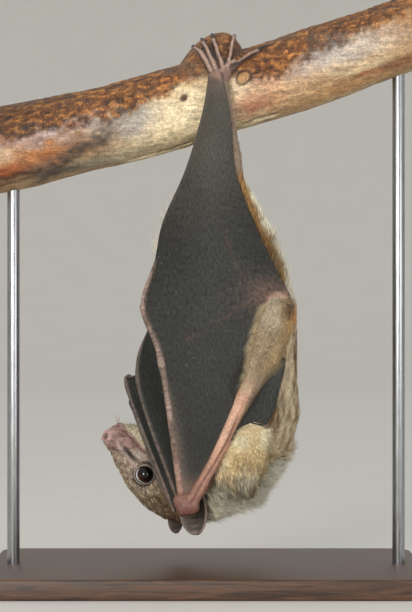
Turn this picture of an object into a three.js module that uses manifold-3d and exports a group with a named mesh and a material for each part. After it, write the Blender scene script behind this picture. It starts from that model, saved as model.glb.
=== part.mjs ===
// A life-size fruit bat (an Egyptian rousette) hanging by both feet from a short cut length of
// branch, its wings folded round its belly, on a plain display stand of two rods and a flat base.
// Millimetres, +Z up. The bat hangs head down: its belly faces -X, its back +X, its right side -Y.
// The coat is part of the solids: they reach out to the tips of the fur.
import * as THREE from "three";
import { mergeVertices } from "three/addons/utils/BufferGeometryUtils.js";
import Module from "manifold-3d";

const wasm = await Module();
wasm.setup();

// ---- driving dimensions ------------------------------------------------------------------------
const GAP = 0.3; // between pieces that touch
const SHEET = 0.8; // thickness of the wing skin
const EAR_THICK = 1.0;

const BASE = { length: 172, depth: 124, height: 8, corner: 10, bevel: 0.8 };
const ROD = { radius: 2.5, x: 77, sunk: 5, intoPerch: 9 };

// The perch is a bent branch. Its knob, the stub of an old side branch, is what the feet hold.
const PERCH = { length: 184, radius: 16.4, taper: 0.008, height: 193, slope: 0.287, bend: 0.00057 };
const KNOB = { x: 3, left: 13.5, right: 11.5, rise: 9 };
// Two gentle waves make the bark uneven: each has a height, a rate along and turns round the perch.
const UNEVEN = [{ height: 0.35, rate: 0.11, turns: 2 }, { height: 0.3, rate: 0.05, turns: -3 }];
const RING_CROWDING = 0.64; // how much closer together the perch's rings stand at the knob

const HEAD_TURN = THREE.MathUtils.degToRad(14); // towards the bat's right
const HEAD_OFFSET = 2; // of the turned head towards the bat's left
const EYE = { x: -26.9, y: 7.5, z: 44.1, radius: 4.3 };
// An ear is widest at a share of its length. Its rims stand up by a cup that shrinks from root to
// tip, its middle bows back by bow, and its tip leans outwards.
const EAR = {
  width: 6.2, cup: [5.2, 3.1], bow: 1.4, lean: 0.8, facing: THREE.MathUtils.degToRad(45),
  widest: 0.42, rootReach: 0.9, tipReach: 0.585, narrowest: 0.012,
};
const EAR_ROOT = [-6.0, 8.6, 37.0];
const EAR_TIP = { right: [-8.4, 14.4, 20.8], left: [-8.8, 14.6, 18.8] };

// The right wing's and leg's joints. The left side is their mirror image.
const ELBOW = [33.0, -25.8, 112.8];
const KNEE = [11.8, -20.0, 161.5];
const ANKLE = [6.8, -20.6, 197.5];
const DIGIT_2 = [[-12.8, -19.2, 31.0], [-18.7, -17.2, 42.8], [-28.8, -12.4, 69.4]];
const DIGIT_3 = [
  [-12.6, -21.6, 30.6], [-31.0, -14.6, 78.6], [-26.2, -11.4, 82.4],
  [-11.4, -18.4, 101.4], [-5.6, -20.9, 113.0],
];
const DIGIT_4 = [
  [-10.8, -22.2, 34.0], [-26.9, -14.4, 81.4], [-20.4, -14.0, 106.0], [-17, -15.4, 118],
];
const DIGIT_5 = [
  [-9.4, -22.9, 35.0], [-17.3, -23.8, 88.4], [-24.8, -17.2, 110.0], [-20.2, -11.6, 128.0],
];
const BONE = {
  2: { root: 1.0, tip: 0.55, knob: 0.15 },
  3: { root: 1.1, tip: 0.5, knob: 0.25 },
  4: { root: 1.15, tip: 0.5, knob: 0.3 },
  5: { root: 1.6, tip: 0.5, knob: 0.35 },
};

// Rows of a limb are [x, y, z, half depth, half width]; the width is measured along Y.
const TRUNK = [
  [9.0, 0, 157, 5.5, 6.5],
  [5.6, 0, 153.5, 11.4, 11.5],
  [4.2, 0, 146, 18.2, 16.5],
  [4.6, 0, 135, 23.8, 19.6],
  [6.8, 0, 121, 26.3, 21],
  [9.6, 0, 104, 26.6, 21.6],
  [11.2, 0, 86, 25.6, 21.6],
  [13.0, 0, 70, 23.6, 20.6],
  [15.6, 0, 58, 19.5, 17.6],
];
const NECK = [
  [13.5, 0, 64, 21.8, 19.6],
  [10.0, 0.4, 53, 20.0, 19],
  [4.4, 1.2, 43, 18.8, 17.4],
  [-3.0, 2, 37, 14.2, 14],
];
const HEAD = [
  [1.5, 0, 35.6, 7.0, 8.0],
  [-8.0, 0, 34.6, 11.0, 12.4],
  [-13.6, 0, 36.2, 11.2, 13.0],
  [-19.2, 0, 39.4, 10.9, 12.5],
  [-25.6, 0, 44.8, 9.6, 10.6],
  [-30.6, 0, 50.4, 7.5, 7.8],
  [-34.6, 0, 55.8, 6.1, 6.3],
  [-38.0, 0, 59.9, 4.7, 5.3],
];
const JAW = [
  [-34.8, 0, 62.5, 2.4, 3.6],
  [-30.4, 0, 60.9, 4.0, 5.2],
  [-23.5, 0, 55.4, 5.4, 7.2],
  [-15.0, 0, 49.2, 6.6, 9.4],
  [-7.5, 0, 45, 7.0, 10],
];
const TAIL = [
  [9.4, 0, 157, 3.0, 2.9],
  [8.6, 0, 164, 2.0, 2.0],
  [6.4, 0, 172, 1.2, 1.2],
];
const SHOULDER = [
  [17.8, -19.4, 59.4, 8.2, 5.6],
  [15.6, -20.2, 52.0, 9.8, 6.4],
  [10.8, -18.6, 43.5, 9.4, 5.8],
];
const UPPER_ARM = [
  [26.5, -15.5, 55, 7.6, 5.6],
  [31.4, -19.4, 68, 5.9, 5.0],
  [33.0, -22.2, 86, 3.3, 4.0],
  [33.4, -23.8, 101, 2.7, 3.6],
  [32.8, -24.4, 110, 3.2, 3.6],
];
const FOREARM = [
  [28.8, -26.0, 111.4, 7.0, 3.3],
  [26.8, -27.0, 103.4, 7.6, 3.9],
  [23.2, -27.3, 91.4, 6.6, 3.9],
  [17.0, -27.2, 79.0, 3.9, 3.0],
  [10.2, -26.6, 65.6, 2.5, 2.4],
  [3.0, -25.4, 50, 2.2, 2.1],
  [-3.0, -24.2, 38.6, 2.5, 2.2],
  [-6.2, -23.2, 33.0, 2.9, 2.5],
];
const WRIST = [
  [-4.8, -22.9, 32.6, 3.4, 2.9],
  [-8.0, -23.0, 32.4, 4.7, 3.6],
  [-10.4, -22.6, 35.6, 3.2, 2.7],
];
const THUMB = [
  [-6.0, -20.0, 34.4, 1.9, 1.8],
  [-0.8, -18.8, 38.6, 1.6, 1.5],
  [3.2, -19.2, 44.4, 1.4, 1.3],
];
const THUMB_CLAW = [
  [3.5, -19.4, 45.2, 0.95, 0.7],
  [5.0, -20.0, 47.8, 0.8, 0.55],
  [5.6, -21.2, 49.8, 0.3, 0.25],
];
const DIGIT_2_CLAW = [
  [-29.1, -12.2, 70.2, 0.65, 0.5],
  [-30.2, -11.2, 72.6, 0.5, 0.4],
  [-30.0, -10.0, 74.4, 0.22, 0.2],
];
const THIGH = [
  [19.6, -9, 136, 8.4, 6],
  [15.2, -15, 149, 6.2, 5.6],
  [11.8, -19.6, 160.5, 3.9, 3.7],
];
const SHANK = [
  [...KNEE, 3.6, 3.4],
  [10.8, -20.8, 171, 3.3, 3.1],
  [8.8, -21.0, 184, 2.8, 2.6],
  [...ANKLE, 2.7, 2.4],
];

// Each toe runs from its root to its tip over the knob, as [x, degrees round the perch].
const SOLE = { x: 6.6, from: 6, to: 34, heelWidth: 2.6, toeWidth: 5, thick: 1.9, lift: 1 };
const TOES = [
  { root: [1.4, 30], tip: [-4.4, 63] },
  { root: [2.8, 33], tip: [-1.2, 63] },
  { root: [5.6, 34], tip: [2.8, 62] },
  { root: [9.2, 33], tip: [11.2, 68] },
  { root: [10.8, 30], tip: [20.4, 45] },
];
const TOE = {
  rootRadius: 1.45, tipRadius: 1.1, knuckle: 0.5, overlap: 6, clear: 0.1,
};
// A claw's length is in degrees round the perch, from a start beyond its toe's tip. Its tip's
// thickness, its lean and its height are shares.
const TOE_CLAW = {
  length: 14, start: 4.6, radius: 0.75, tip: 0.28, narrow: 0.8, lean: 0.6, clear: 0.15, arch: 1.3,
};

// The wing's skin along the flank bulges out over the body, most at one height.
const FLANK = { bottom: 35.5, top: 202.5, fullest: 98, edgeY: -22.8, bulge: 7.1 };
// Its free front edge runs from the tip of the fifth digit to the ankle, its rear edge from the
// elbow along the leg.
const FREE_EDGE = [[-16.8, -15.8, 144], [-8, -19.8, 164], [-1.4, -21, 186], [1.6, -20.2, 204]];
const FORE_WEB_END = [6.6, -26.1, 57.5]; // where the skin before the elbow ends on the forearm
const WEB = { from: 0.12, span: 0.8 }; // the part of a half wave by which the other skin sags
const LEG_EDGE = [
  [28, -19, 124], [18.4, -19.4, 144], [11.2, -24, 164], [9.2, -24.4, 186], [5, -23.6, 204],
];

const FINISHES = {
  fur: { color: 0xb79a68, roughness: 0.85 },
  face: { color: 0xa98a6a, roughness: 0.7 },
  skin: { color: 0xb58a7c, roughness: 0.6 },
  wing: { color: 0x4b4744, roughness: 0.7 },
  ear: { color: 0x9b8580, roughness: 0.65 },
  eye: { color: 0x2a1410, roughness: 0.08 },
  claw: { color: 0x6d655c, roughness: 0.4 },
  perch: { color: 0xb08a5c, roughness: 0.8 },
  base: { color: 0x5a4334, roughness: 0.5 },
  rod: { color: 0x9a9c9f, roughness: 0.3, metalness: 1 },
};

const SLIM = { sides: 5, domeRings: 1 }; // how finely a slim limb is made
const DOME = 0.8; // height of a limb's domed end, as a share of its smaller half width
const JOINT_FLARE = { before: 0.09, after: 0.13 }; // share of a bone that swells to its knob
const HALVINGS = 24; // steps of a search along a path

// ---- making shapes -----------------------------------------------------------------------------
const vec = (p) => new THREE.Vector3(p[0], p[1], p[2]);
const smoothPath = (rows) => new THREE.CatmullRomCurve3(rows.map(vec), false, "catmullrom");

// A closed three.js geometry as a manifold-3d solid, with its faces turned outwards.
function solidOf(geometry) {
  const bare = geometry.clone();
  bare.deleteAttribute("normal");
  bare.deleteAttribute("uv");
  const merged = mergeVertices(bare, 1e-3);
  const triVerts = new Uint32Array(merged.index.array);
  const vertProperties = merged.attributes.position.array;
  const make = () => new wasm.Manifold(new wasm.Mesh({ numProp: 3, vertProperties, triVerts }));
  const first = make();
  if (first.volume() >= 0) return first;
  for (let i = 0; i < triVerts.length; i += 3) {
    [triVerts[i], triVerts[i + 1]] = [triVerts[i + 1], triVerts[i]];
  }
  return make();
}

function geometryOf(solid) {
  const mesh = solid.getMesh();
  const positions = new Float32Array(mesh.numVert * 3);
  for (let i = 0; i < mesh.numVert; i++) {
    positions.set(mesh.vertProperties.subarray(i * mesh.numProp, i * mesh.numProp + 3), i * 3);
  }
  const geometry = new THREE.BufferGeometry();
  geometry.setAttribute("position", new THREE.BufferAttribute(positions, 3));
  geometry.setIndex(new THREE.BufferAttribute(new Uint32Array(mesh.triVerts), 1));
  return geometry;
}

// A rounded tube through rows of [x, y, z, half depth, half width], with domed ends: the rings of
// a sphere laid along the path, its poles on the ends. Like each shape below, the result is a
// function that gives the geometry, grown all over by a given amount.
function limb(rows, { sides = 8, domeRings = 2, dome = DOME, across = [0, 1, 0], place } = {}) {
  const path = smoothPath(rows);
  const sizes = smoothPath(rows.map((row) => [row[3], row[4], 0]));
  const count = rows.length - 1;
  return (grow = 0) => {
    const rings = [];
    const addRing = (t, shift, scale) => {
      const along = path.getTangent(t);
      const wide = vec(across).addScaledVector(along, -vec(across).dot(along)).normalize();
      const deep = along.clone().cross(wide);
      const size = sizes.getPoint(t);
      const end = Math.min(size.x, size.y) * dome + grow;
      rings.push({
        centre: path.getPoint(t).addScaledVector(along, shift * end),
        deep: deep.multiplyScalar((size.x + grow) * scale),
        wide: wide.multiplyScalar((size.y + grow) * scale),
      });
    };
    for (let k = 0; k < domeRings; k++) {
      const angle = (k / domeRings) * (Math.PI / 2);
      addRing(0, -Math.cos(angle), Math.sin(angle));
    }
    for (let k = 0; k <= count; k++) addRing(k / count, 0, 1);
    for (let k = domeRings - 1; k >= 0; k--) {
      const angle = (k / domeRings) * (Math.PI / 2);
      addRing(1, Math.cos(angle), Math.sin(angle));
    }
    const geometry = new THREE.SphereGeometry(1, sides, rings.length - 1);
    const position = geometry.attributes.position;
    for (let k = 0; k < position.count; k++) {
      const { centre, deep, wide } = rings[Math.floor(k / (sides + 1))];
      const angle = ((k % (sides + 1)) / sides) * 2 * Math.PI;
      const p = centre.clone()
        .addScaledVector(deep, Math.cos(angle)).addScaledVector(wide, Math.sin(angle));
      position.setXYZ(k, p.x, p.y, p.z);
    }
    return place ? place(geometry) : geometry;
  };
}

// Thin skin about a surface(u, v), both from 0 to 1: a box laid on either side of the surface.
function sheet(surface, { across, along, thick = SHEET, place }) {
  const middle = surface(0.5, 0.5);
  const wide = surface(0, 0.5).distanceTo(surface(1, 0.5));
  const long = surface(0.5, 0).distanceTo(middle) + surface(0.5, 1).distanceTo(middle);
  const step = 0.01;
  return (grow = 0) => {
    const geometry = new THREE.BoxGeometry(1, 1, 1, across, along, 1);
    const position = geometry.attributes.position;
    for (let k = 0; k < position.count; k++) {
      const u = position.getX(k) * (1 + (2 * grow) / wide) + 0.5;
      const v = position.getY(k) * (1 + (2 * grow) / long) + 0.5;
      const alongU = surface(u + step, v).sub(surface(u - step, v));
      const alongV = surface(u, v + step).sub(surface(u, v - step));
      const normal = alongU.cross(alongV).normalize();
      const p = surface(u, v).addScaledVector(normal, position.getZ(k) * (thick + 2 * grow));
      position.setXYZ(k, p.x, p.y, p.z);
    }
    return place ? place(geometry) : geometry;
  };
}

// ---- perch and stand ---------------------------------------------------------------------------
const perchCentre = (x) => PERCH.height + PERCH.slope * x + PERCH.bend * x * x;

function knobRise(x) {
  const reach = x < KNOB.x ? (KNOB.x - x) / KNOB.left : (x - KNOB.x) / KNOB.right;
  return KNOB.rise * Math.max(0, 1 - reach ** (x < KNOB.x ? 2 : 3));
}

// Radius of the perch at x, at an angle up from the horizontal on either side of it.
function perchRadius(x, angle) {
  const up = Math.max(0, Math.sin(angle));
  const waves = UNEVEN.map((wave) => wave.height * Math.sin(wave.rate * x + wave.turns * angle));
  const uneven = waves.reduce((a, b) => a + b);
  return PERCH.radius - PERCH.taper * x + knobRise(x) * up * up + uneven;
}

// The point at x on the perch, an angle up from its front, and a lift off its surface.
function onPerch(x, degrees, lift) {
  const angle = THREE.MathUtils.degToRad(degrees);
  const reach = perchRadius(x, angle) + lift;
  return [x, -reach * Math.cos(angle), perchCentre(x) + reach * Math.sin(angle)];
}

function perch(grow = 0) {
  const geometry = new THREE.CylinderGeometry(1, 1, 1, 12, 12);
  const position = geometry.attributes.position;
  for (let k = 0; k < position.count; k++) {
    const share = 2 * position.getY(k);
    const spaced = (1 - RING_CROWDING) * share + RING_CROWDING * share ** 3;
    const x = spaced * (PERCH.length / 2 + grow);
    const spoke = Math.hypot(position.getX(k), position.getZ(k));
    const angle = Math.atan2(position.getZ(k), -position.getX(k));
    const reach = spoke * (perchRadius(x, angle) + grow);
    position.setXYZ(k, x, -reach * Math.cos(angle), perchCentre(x) + reach * Math.sin(angle));
  }
  return geometry;
}

function rod(side) {
  const x = side * ROD.x;
  const top = perchCentre(x) - perchRadius(x, -Math.PI / 2) + ROD.intoPerch;
  const bottom = BASE.height - ROD.sunk;
  return (grow = 0) => {
    const radius = ROD.radius + grow;
    const geometry = new THREE.CylinderGeometry(radius, radius, top - bottom + 2 * grow, 12);
    return geometry.rotateX(Math.PI / 2).translate(x, 0, (top + bottom) / 2);
  };
}

function base() {
  const { length, depth, height, corner, bevel } = BASE;
  const [right, back] = [length / 2 - bevel, depth / 2 - bevel];
  const outline = new THREE.Shape();
  outline.moveTo(-right + corner, -back);
  outline.lineTo(right - corner, -back);
  outline.absarc(right - corner, -back + corner, corner, -Math.PI / 2, 0);
  outline.absarc(right - corner, back - corner, corner, 0, Math.PI / 2);
  outline.absarc(-right + corner, back - corner, corner, Math.PI / 2, Math.PI);
  outline.absarc(-right + corner, -back + corner, corner, Math.PI, 1.5 * Math.PI);
  const geometry = new THREE.ExtrudeGeometry(outline, {
    depth: height - 2 * bevel,
    curveSegments: 2,
    bevelSize: bevel,
    bevelThickness: bevel,
    bevelSegments: 1,
  });
  return geometry.translate(0, 0, bevel);
}

// ---- head --------------------------------------------------------------------------------------
// The head is modelled straight ahead and then turned.
const turnHead = (geometry) => geometry.rotateZ(HEAD_TURN).translate(0, HEAD_OFFSET, 0);

function eye(side) {
  return (grow = 0) => {
    const geometry = new THREE.SphereGeometry(EYE.radius + grow, 10, 6);
    return turnHead(geometry.translate(EYE.x, side * EYE.y, EYE.z));
  };
}

// A cupped leaf from the side of the head down to a rounded tip, open forwards and outwards.
function ear(side, tip) {
  const root = vec(EAR_ROOT).multiply(vec([1, side, 1]));
  const end = vec(tip).multiply(vec([1, side, 1]));
  const facing = vec([-Math.sin(EAR.facing), side * Math.cos(EAR.facing), 0]);
  const sideways = vec([Math.cos(EAR.facing), side * Math.sin(EAR.facing), 0]);
  const surface = (u, v) => {
    const s = 2 * u - 1;
    const reach = (v - EAR.widest) / (v < EAR.widest ? EAR.rootReach : EAR.tipReach);
    const wide = EAR.width * Math.sqrt(Math.max(EAR.narrowest, 1 - reach * reach));
    const rim = s * s * (wide / EAR.width) * THREE.MathUtils.lerp(...EAR.cup, v);
    const bow = EAR.bow * Math.sin(Math.PI * v);
    return root.clone().lerp(end, v)
      .addScaledVector(sideways, s * wide + EAR.lean * v)
      .addScaledVector(facing, rim - bow);
  };
  return sheet(surface, { across: 4, along: 5, thick: EAR_THICK, place: turnHead });
}

// ---- wings -------------------------------------------------------------------------------------
// Rows for a digit: a knob at each joint, and a slimmer shaft on either side of it.
function digitRows(joints, { root, tip, knob }) {
  const last = joints.length - 1;
  const row = (i, part, extra) => {
    const next = vec(joints[Math.max(0, Math.min(last, i + Math.sign(part)))]);
    const at = vec(joints[i]).lerp(next, Math.abs(part));
    const radius = THREE.MathUtils.lerp(root, tip, (i + part) / last) + extra;
    return [at.x, at.y, at.z, radius, radius];
  };
  const rows = [row(0, 0, 0), row(0, 0.5, 0)];
  for (let i = 1; i < last; i++) {
    rows.push(row(i, -JOINT_FLARE.before, 0), row(i, 0, knob), row(i, JOINT_FLARE.after, 0));
  }
  rows.push(row(last, 0, 0));
  return rows;
}

// The point of a rising path at a height.
function atHeight(path, z) {
  let [low, high] = [0, 1];
  for (let k = 0; k < HALVINGS; k++) {
    const middle = (low + high) / 2;
    if (path.getPoint(middle).z < z) low = middle;
    else high = middle;
  }
  return path.getPoint(low);
}

const frontEdge = smoothPath([...DIGIT_5, ...FREE_EDGE]);
const rearEdge = smoothPath([...FOREARM.slice(1).reverse(), ELBOW, ...LEG_EDGE]);

function flankSkin(u, v) {
  const z = THREE.MathUtils.lerp(FLANK.top, FLANK.bottom, v);
  const [front, rear] = [atHeight(frontEdge, z), atHeight(rearEdge, z)];
  const span = z < FLANK.fullest ? FLANK.fullest - FLANK.bottom : FLANK.top - FLANK.fullest;
  const away = Math.min(1, Math.abs(z - FLANK.fullest) / span);
  const middleY = FLANK.edgeY - FLANK.bulge * (1 - away * away);
  const p = front.clone().lerp(rear, u);
  p.y += (middleY - (front.y + rear.y) / 2) * 4 * u * (1 - u);
  return p;
}

// Skin between two paths, sagging towards the body in the middle.
function webBetween(rowsA, rowsB, sag) {
  const [a, b] = [smoothPath(rowsA), smoothPath(rowsB)];
  return (u, v) => {
    const share = THREE.MathUtils.clamp(v, 0, 1);
    const p = a.getPoint(share).lerp(b.getPoint(share), u);
    p.y += sag * 4 * u * (1 - u) * Math.sin(Math.PI * (WEB.from + share * WEB.span));
    return p;
  };
}

// ---- feet --------------------------------------------------------------------------------------
function toe({ root, tip }) {
  const rows = [0, 1, 2, 3].map((k) => {
    const s = k / 3;
    const radius = THREE.MathUtils.lerp(TOE.rootRadius, TOE.tipRadius, s);
    const lift = radius + GAP + TOE.clear + TOE.knuckle * Math.sin(Math.PI * s);
    const x = THREE.MathUtils.lerp(root[0], tip[0], s);
    const degrees = THREE.MathUtils.lerp(root[1] - TOE.overlap, tip[1], s);
    return [...onPerch(x, degrees, lift), radius, radius];
  });
  return limb(rows, { ...SLIM, across: [1, 0, 0] });
}

function foot() {
  const sole = [0, 0.5, 1].map((s) => {
    const degrees = THREE.MathUtils.lerp(SOLE.from, SOLE.to, s);
    const wide = THREE.MathUtils.lerp(SOLE.heelWidth, SOLE.toeWidth, s);
    return [...onPerch(SOLE.x, degrees, SOLE.thick + SOLE.lift), wide, SOLE.thick];
  });
  return [limb(sole, { sides: 6, across: [0, 1, 0.6] }), ...TOES.map(toe)];
}

// A claw goes on from the tip of its toe, arches, and comes down to a point on the bark.
function toeClaw({ root, tip }) {
  const lean = TOE_CLAW.lean * (tip[0] - root[0]) / (tip[1] - root[1]);
  const rows = [0, 0.5, 1].map((s) => {
    const radius = TOE_CLAW.radius * THREE.MathUtils.lerp(1, TOE_CLAW.tip, s);
    const x = tip[0] + lean * TOE_CLAW.length * s;
    const degrees = tip[1] + TOE_CLAW.start + TOE_CLAW.length * s;
    const lift = radius + GAP + TOE_CLAW.clear + TOE_CLAW.arch * (1 - s) * (0.4 + s);
    return [...onPerch(x, degrees, lift), radius, radius * TOE_CLAW.narrow];
  });
  return limb(rows, { ...SLIM, across: [1, 0, 0] });
}

// ---- the solids, each cut clear of those before it ---------------------------------------------
const MATERIALS = Object.fromEntries(Object.entries(FINISHES).map(
  ([name, finish]) => [name, new THREE.MeshStandardMaterial(finish)]));

const made = []; // the box and the grown solid of each node so far
const bat = new THREE.Group();
const stand = new THREE.Group();

const unionOf = (shapes, grow) =>
  shapes.map((shape) => solidOf(shape(grow))).reduce((a, b) => a.add(b));

function boxOf(solid) {
  const { min, max } = solid.boundingBox();
  return new THREE.Box3(vec(min), vec(max));
}

// Adds a node of one or more joined shapes, cut clear of every node before it. A sliver that the
// cut leaves apart from the rest is dropped.
function addNode(name, shapes, finish, group = bat) {
  const whole = unionOf(shapes, 0);
  const box = boxOf(whole);
  let solid = whole;
  for (const earlier of made) {
    if (earlier.box.intersectsBox(box)) solid = solid.subtract(earlier.grown);
  }
  const largest = solid.decompose().reduce((a, b) => (b.volume() > a.volume() ? b : a));
  const grown = unionOf(shapes, GAP).add(whole);
  made.push({ box: boxOf(grown), grown });
  const mesh = new THREE.Mesh(geometryOf(largest), MATERIALS[finish]);
  mesh.name = name;
  group.add(mesh);
}

const SIDES = [
  { side: "right", onSide: (shape) => shape },
  { side: "left", onSide: (shape) => (grow) => shape(grow).scale(1, -1, 1) },
];

addNode("stand_rod_left", [rod(-1)], "rod", stand);
addNode("stand_rod_right", [rod(1)], "rod", stand);
addNode("stand_base", [base], "base", stand);
addNode("perch", [perch], "perch", stand);

addNode("eye_right", [eye(-1)], "eye");
addNode("eye_left", [eye(1)], "eye");
addNode("head", [limb(HEAD, { sides: 15, dome: 0.55, place: turnHead })], "face");
addNode("lower_jaw", [limb(JAW, { dome: 0.7, place: turnHead })], "face");
addNode("ear_right", [ear(-1, EAR_TIP.right)], "ear");
addNode("ear_left", [ear(1, EAR_TIP.left)], "ear");

for (const { side, onSide } of SIDES) {
  addNode(`thumb_${side}`, [onSide(limb(THUMB, SLIM))], "skin");
  addNode(`thumb_claw_${side}`, [onSide(limb(THUMB_CLAW, SLIM))], "claw");
  addNode(`wrist_${side}`, [onSide(limb(WRIST))], "skin");
  addNode(`forearm_${side}`, [onSide(limb(FOREARM))], "skin");
  addNode(`upper_arm_${side}`, [onSide(limb(UPPER_ARM))], "fur");
}
addNode("tail", [limb(TAIL, { sides: 5 })], "skin");
addNode("neck", [limb(NECK, { sides: 10 })], "fur");
addNode("trunk", [limb(TRUNK, { sides: 14 })], "fur");

for (const { side, onSide } of SIDES) {
  addNode(`shoulder_${side}`, [onSide(limb(SHOULDER, { dome: 1 }))], "fur");
  addNode(`thigh_${side}`, [onSide(limb(THIGH, { sides: 6 }))], "fur");
  addNode(`shank_${side}`, [onSide(limb(SHANK, { sides: 6 }))], "skin");
  addNode(`foot_${side}`, foot().map(onSide), "skin");
  TOES.forEach((bone, i) => {
    addNode(`toe_claw_${side}_${i + 1}`, [onSide(toeClaw(bone))], "claw");
  });
  for (const [number, joints] of [[3, DIGIT_3], [4, DIGIT_4], [5, DIGIT_5], [2, DIGIT_2]]) {
    const bones = limb(digitRows(joints, BONE[number]), SLIM);
    addNode(`digit_${number}_${side}`, [onSide(bones)], "skin");
  }
  addNode(`digit_2_claw_${side}`, [onSide(limb(DIGIT_2_CLAW, SLIM))], "claw");
}

const foreWeb = webBetween([...FOREARM.slice(1, 5), FORE_WEB_END], UPPER_ARM.toReversed(), 1.5);
const outerWeb = webBetween(DIGIT_5.slice(0, 3), DIGIT_4.slice(0, 3), 1.6);
const innerWeb = webBetween(DIGIT_4.slice(0, 2), DIGIT_3.slice(0, 2), 1.0);
for (const { side, onSide } of SIDES) {
  addNode(`flank_skin_${side}`, [onSide(sheet(flankSkin, { across: 3, along: 12 }))], "wing");
  addNode(`fore_skin_${side}`, [onSide(sheet(foreWeb, { across: 2, along: 4 }))], "wing");
  addNode(`hand_skin_outer_${side}`, [onSide(sheet(outerWeb, { across: 2, along: 5 }))], "wing");
  addNode(`hand_skin_inner_${side}`, [onSide(sheet(innerWeb, { across: 1, along: 4 }))], "wing");
}

const root = new THREE.Group();
root.add(bat, stand);
export default root;
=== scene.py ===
# A life-size fruit bat that hangs by both feet from a short branch on a display stand, dressed
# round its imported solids. Shapes are worked out in millimetres and made in metres, in the frame of
# the solids: the bat hangs head down, its belly faces -X, its back +X, its right side -Y.
import math

import bmesh
import bpy
import numpy as np
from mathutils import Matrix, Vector
from mathutils.bvhtree import BVHTree


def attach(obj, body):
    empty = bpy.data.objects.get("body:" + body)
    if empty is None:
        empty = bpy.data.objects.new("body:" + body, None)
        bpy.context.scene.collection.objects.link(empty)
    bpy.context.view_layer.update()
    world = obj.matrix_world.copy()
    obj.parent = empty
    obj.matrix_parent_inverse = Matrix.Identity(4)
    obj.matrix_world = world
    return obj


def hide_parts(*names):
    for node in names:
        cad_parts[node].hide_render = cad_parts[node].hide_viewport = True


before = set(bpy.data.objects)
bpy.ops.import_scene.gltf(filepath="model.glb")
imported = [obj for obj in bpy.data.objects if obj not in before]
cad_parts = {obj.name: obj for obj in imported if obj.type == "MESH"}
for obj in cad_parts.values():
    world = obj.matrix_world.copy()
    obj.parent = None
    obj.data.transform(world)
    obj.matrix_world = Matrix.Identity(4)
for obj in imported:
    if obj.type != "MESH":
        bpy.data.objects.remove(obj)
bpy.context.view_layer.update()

MM = 0.001
FEWER = 1
COAT_SEED = 5
SIDES = (("right", 1), ("left", -1))  # the left side is the right one's mirror image in Y

# ---- places and sizes, in millimetres ------------------------------------------------------------
BASE = {"length": 172, "depth": 124, "height": 8, "corner": 10, "edge": 1.0}
ROD = {"radius": 2.5, "x": 77, "sunk": 5, "into_perch": 9}
PERCH = {"length": 184, "radius": 16.4, "taper": 0.008, "height": 193, "slope": 0.287, "bend": 0.00057}
KNOB = {"x": 3, "left": 13.5, "right": 11.5, "rise": 9}

HEAD_TURN = math.radians(14)
HEAD_OFFSET = 2
EYE = {"x": -26.9, "y": 7.5, "z": 44.1, "radius": 4.3}
EAR = {"width": 6.2, "cup": (5.2, 3.1), "bow": 1.4, "lean": 0.8, "facing": math.radians(45),
       "widest": 0.42, "root_reach": 0.9, "tip_reach": 0.585, "narrowest": 0.012, "thick": 0.9}
EAR_ROOT = (-6.0, 8.6, 37.0)
EAR_TIP = {"right": (-8.4, 14.4, 20.8), "left": (-8.8, 14.6, 18.8)}

ELBOW = (33.0, -25.8, 112.8)
DIGITS = {
    2: [(-12.8, -19.2, 31.0), (-18.7, -17.2, 42.8), (-28.8, -12.4, 69.4)],
    3: [(-12.6, -21.6, 30.6), (-31.0, -14.6, 78.6), (-26.2, -11.4, 82.4), (-11.4, -18.4, 101.4),
        (-5.6, -20.9, 113.0)],
    4: [(-10.8, -22.2, 34.0), (-26.9, -14.4, 81.4), (-20.4, -14.0, 106.0), (-17, -15.4, 118)],
    5: [(-9.4, -22.9, 35.0), (-17.3, -23.8, 88.4), (-24.8, -17.2, 110.0), (-20.2, -11.6, 128.0)],
}
BONE = {  # radii of a digit at its root and tip, and how far a joint swells
    2: {"root": 0.75, "tip": 0.45, "knob": 0.15},
    3: {"root": 0.8, "tip": 0.4, "knob": 0.25},
    4: {"root": 0.85, "tip": 0.4, "knob": 0.3},
    5: {"root": 1.5, "tip": 0.5, "knob": 0.45},
}
UPPER_ARM = [(26.5, -15.5, 55), (31.4, -19.4, 68), (33.0, -22.2, 86), (33.4, -23.8, 101),
             (32.8, -24.4, 110)]
FOREARM = [(28.8, -26.0, 111.4), (26.8, -27.0, 103.4), (23.2, -27.3, 91.4), (17.0, -27.2, 79.0),
           (10.2, -26.6, 65.6), (3.0, -25.4, 50), (-3.0, -24.2, 38.6), (-6.2, -23.2, 33.0)]
FLANK = {"bottom": 35.5, "top": 202.5, "fullest": 98, "edge_y": -22.8, "bulge": 7.1}
FREE_EDGE = [(-16.8, -15.8, 144), (-8, -19.8, 164), (-1.4, -21, 186), (1.6, -20.2, 204)]
HAND_WEB_END = (-26.4, -13.2, 82.4)
HAND_WEB_BULGE = (-1.7, 0, 1.6)  # its end follows the bend of digit 3
FORE_WEB_END = (6.6, -26.1, 57.5)
LEG_EDGE = [(28, -19, 124), (18.4, -19.4, 144), (11.2, -24, 164), (9.2, -24.4, 186),
            (5, -23.6, 204)]
UPPER_ARM_X = tuple(zip(*((p[2], p[0]) for p in UPPER_ARM)))
LEG_EDGE_X = tuple(zip(*((p[2], p[0]) for p in LEG_EDGE)))
THUMB_CLAW = [(3.4, -19.3, 44.9), (5.0, -20.0, 47.8), (5.7, -21.3, 50.0)]
DIGIT_2_CLAW = [(-29.0, -12.3, 69.9), (-30.3, -11.2, 72.6), (-30.0, -9.8, 74.7)]
TOES = [((1.4, 30), (-4.4, 63)), ((2.8, 33), (-1.2, 63)), ((5.6, 34), (2.8, 62)),
        ((9.2, 33), (11.2, 68)), ((10.8, 30), (20.4, 45))]
TOE = {"root": 1.45, "tip": 1.1, "knuckle": 0.5, "claw": 14, "claw_radius": 0.8}


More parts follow.
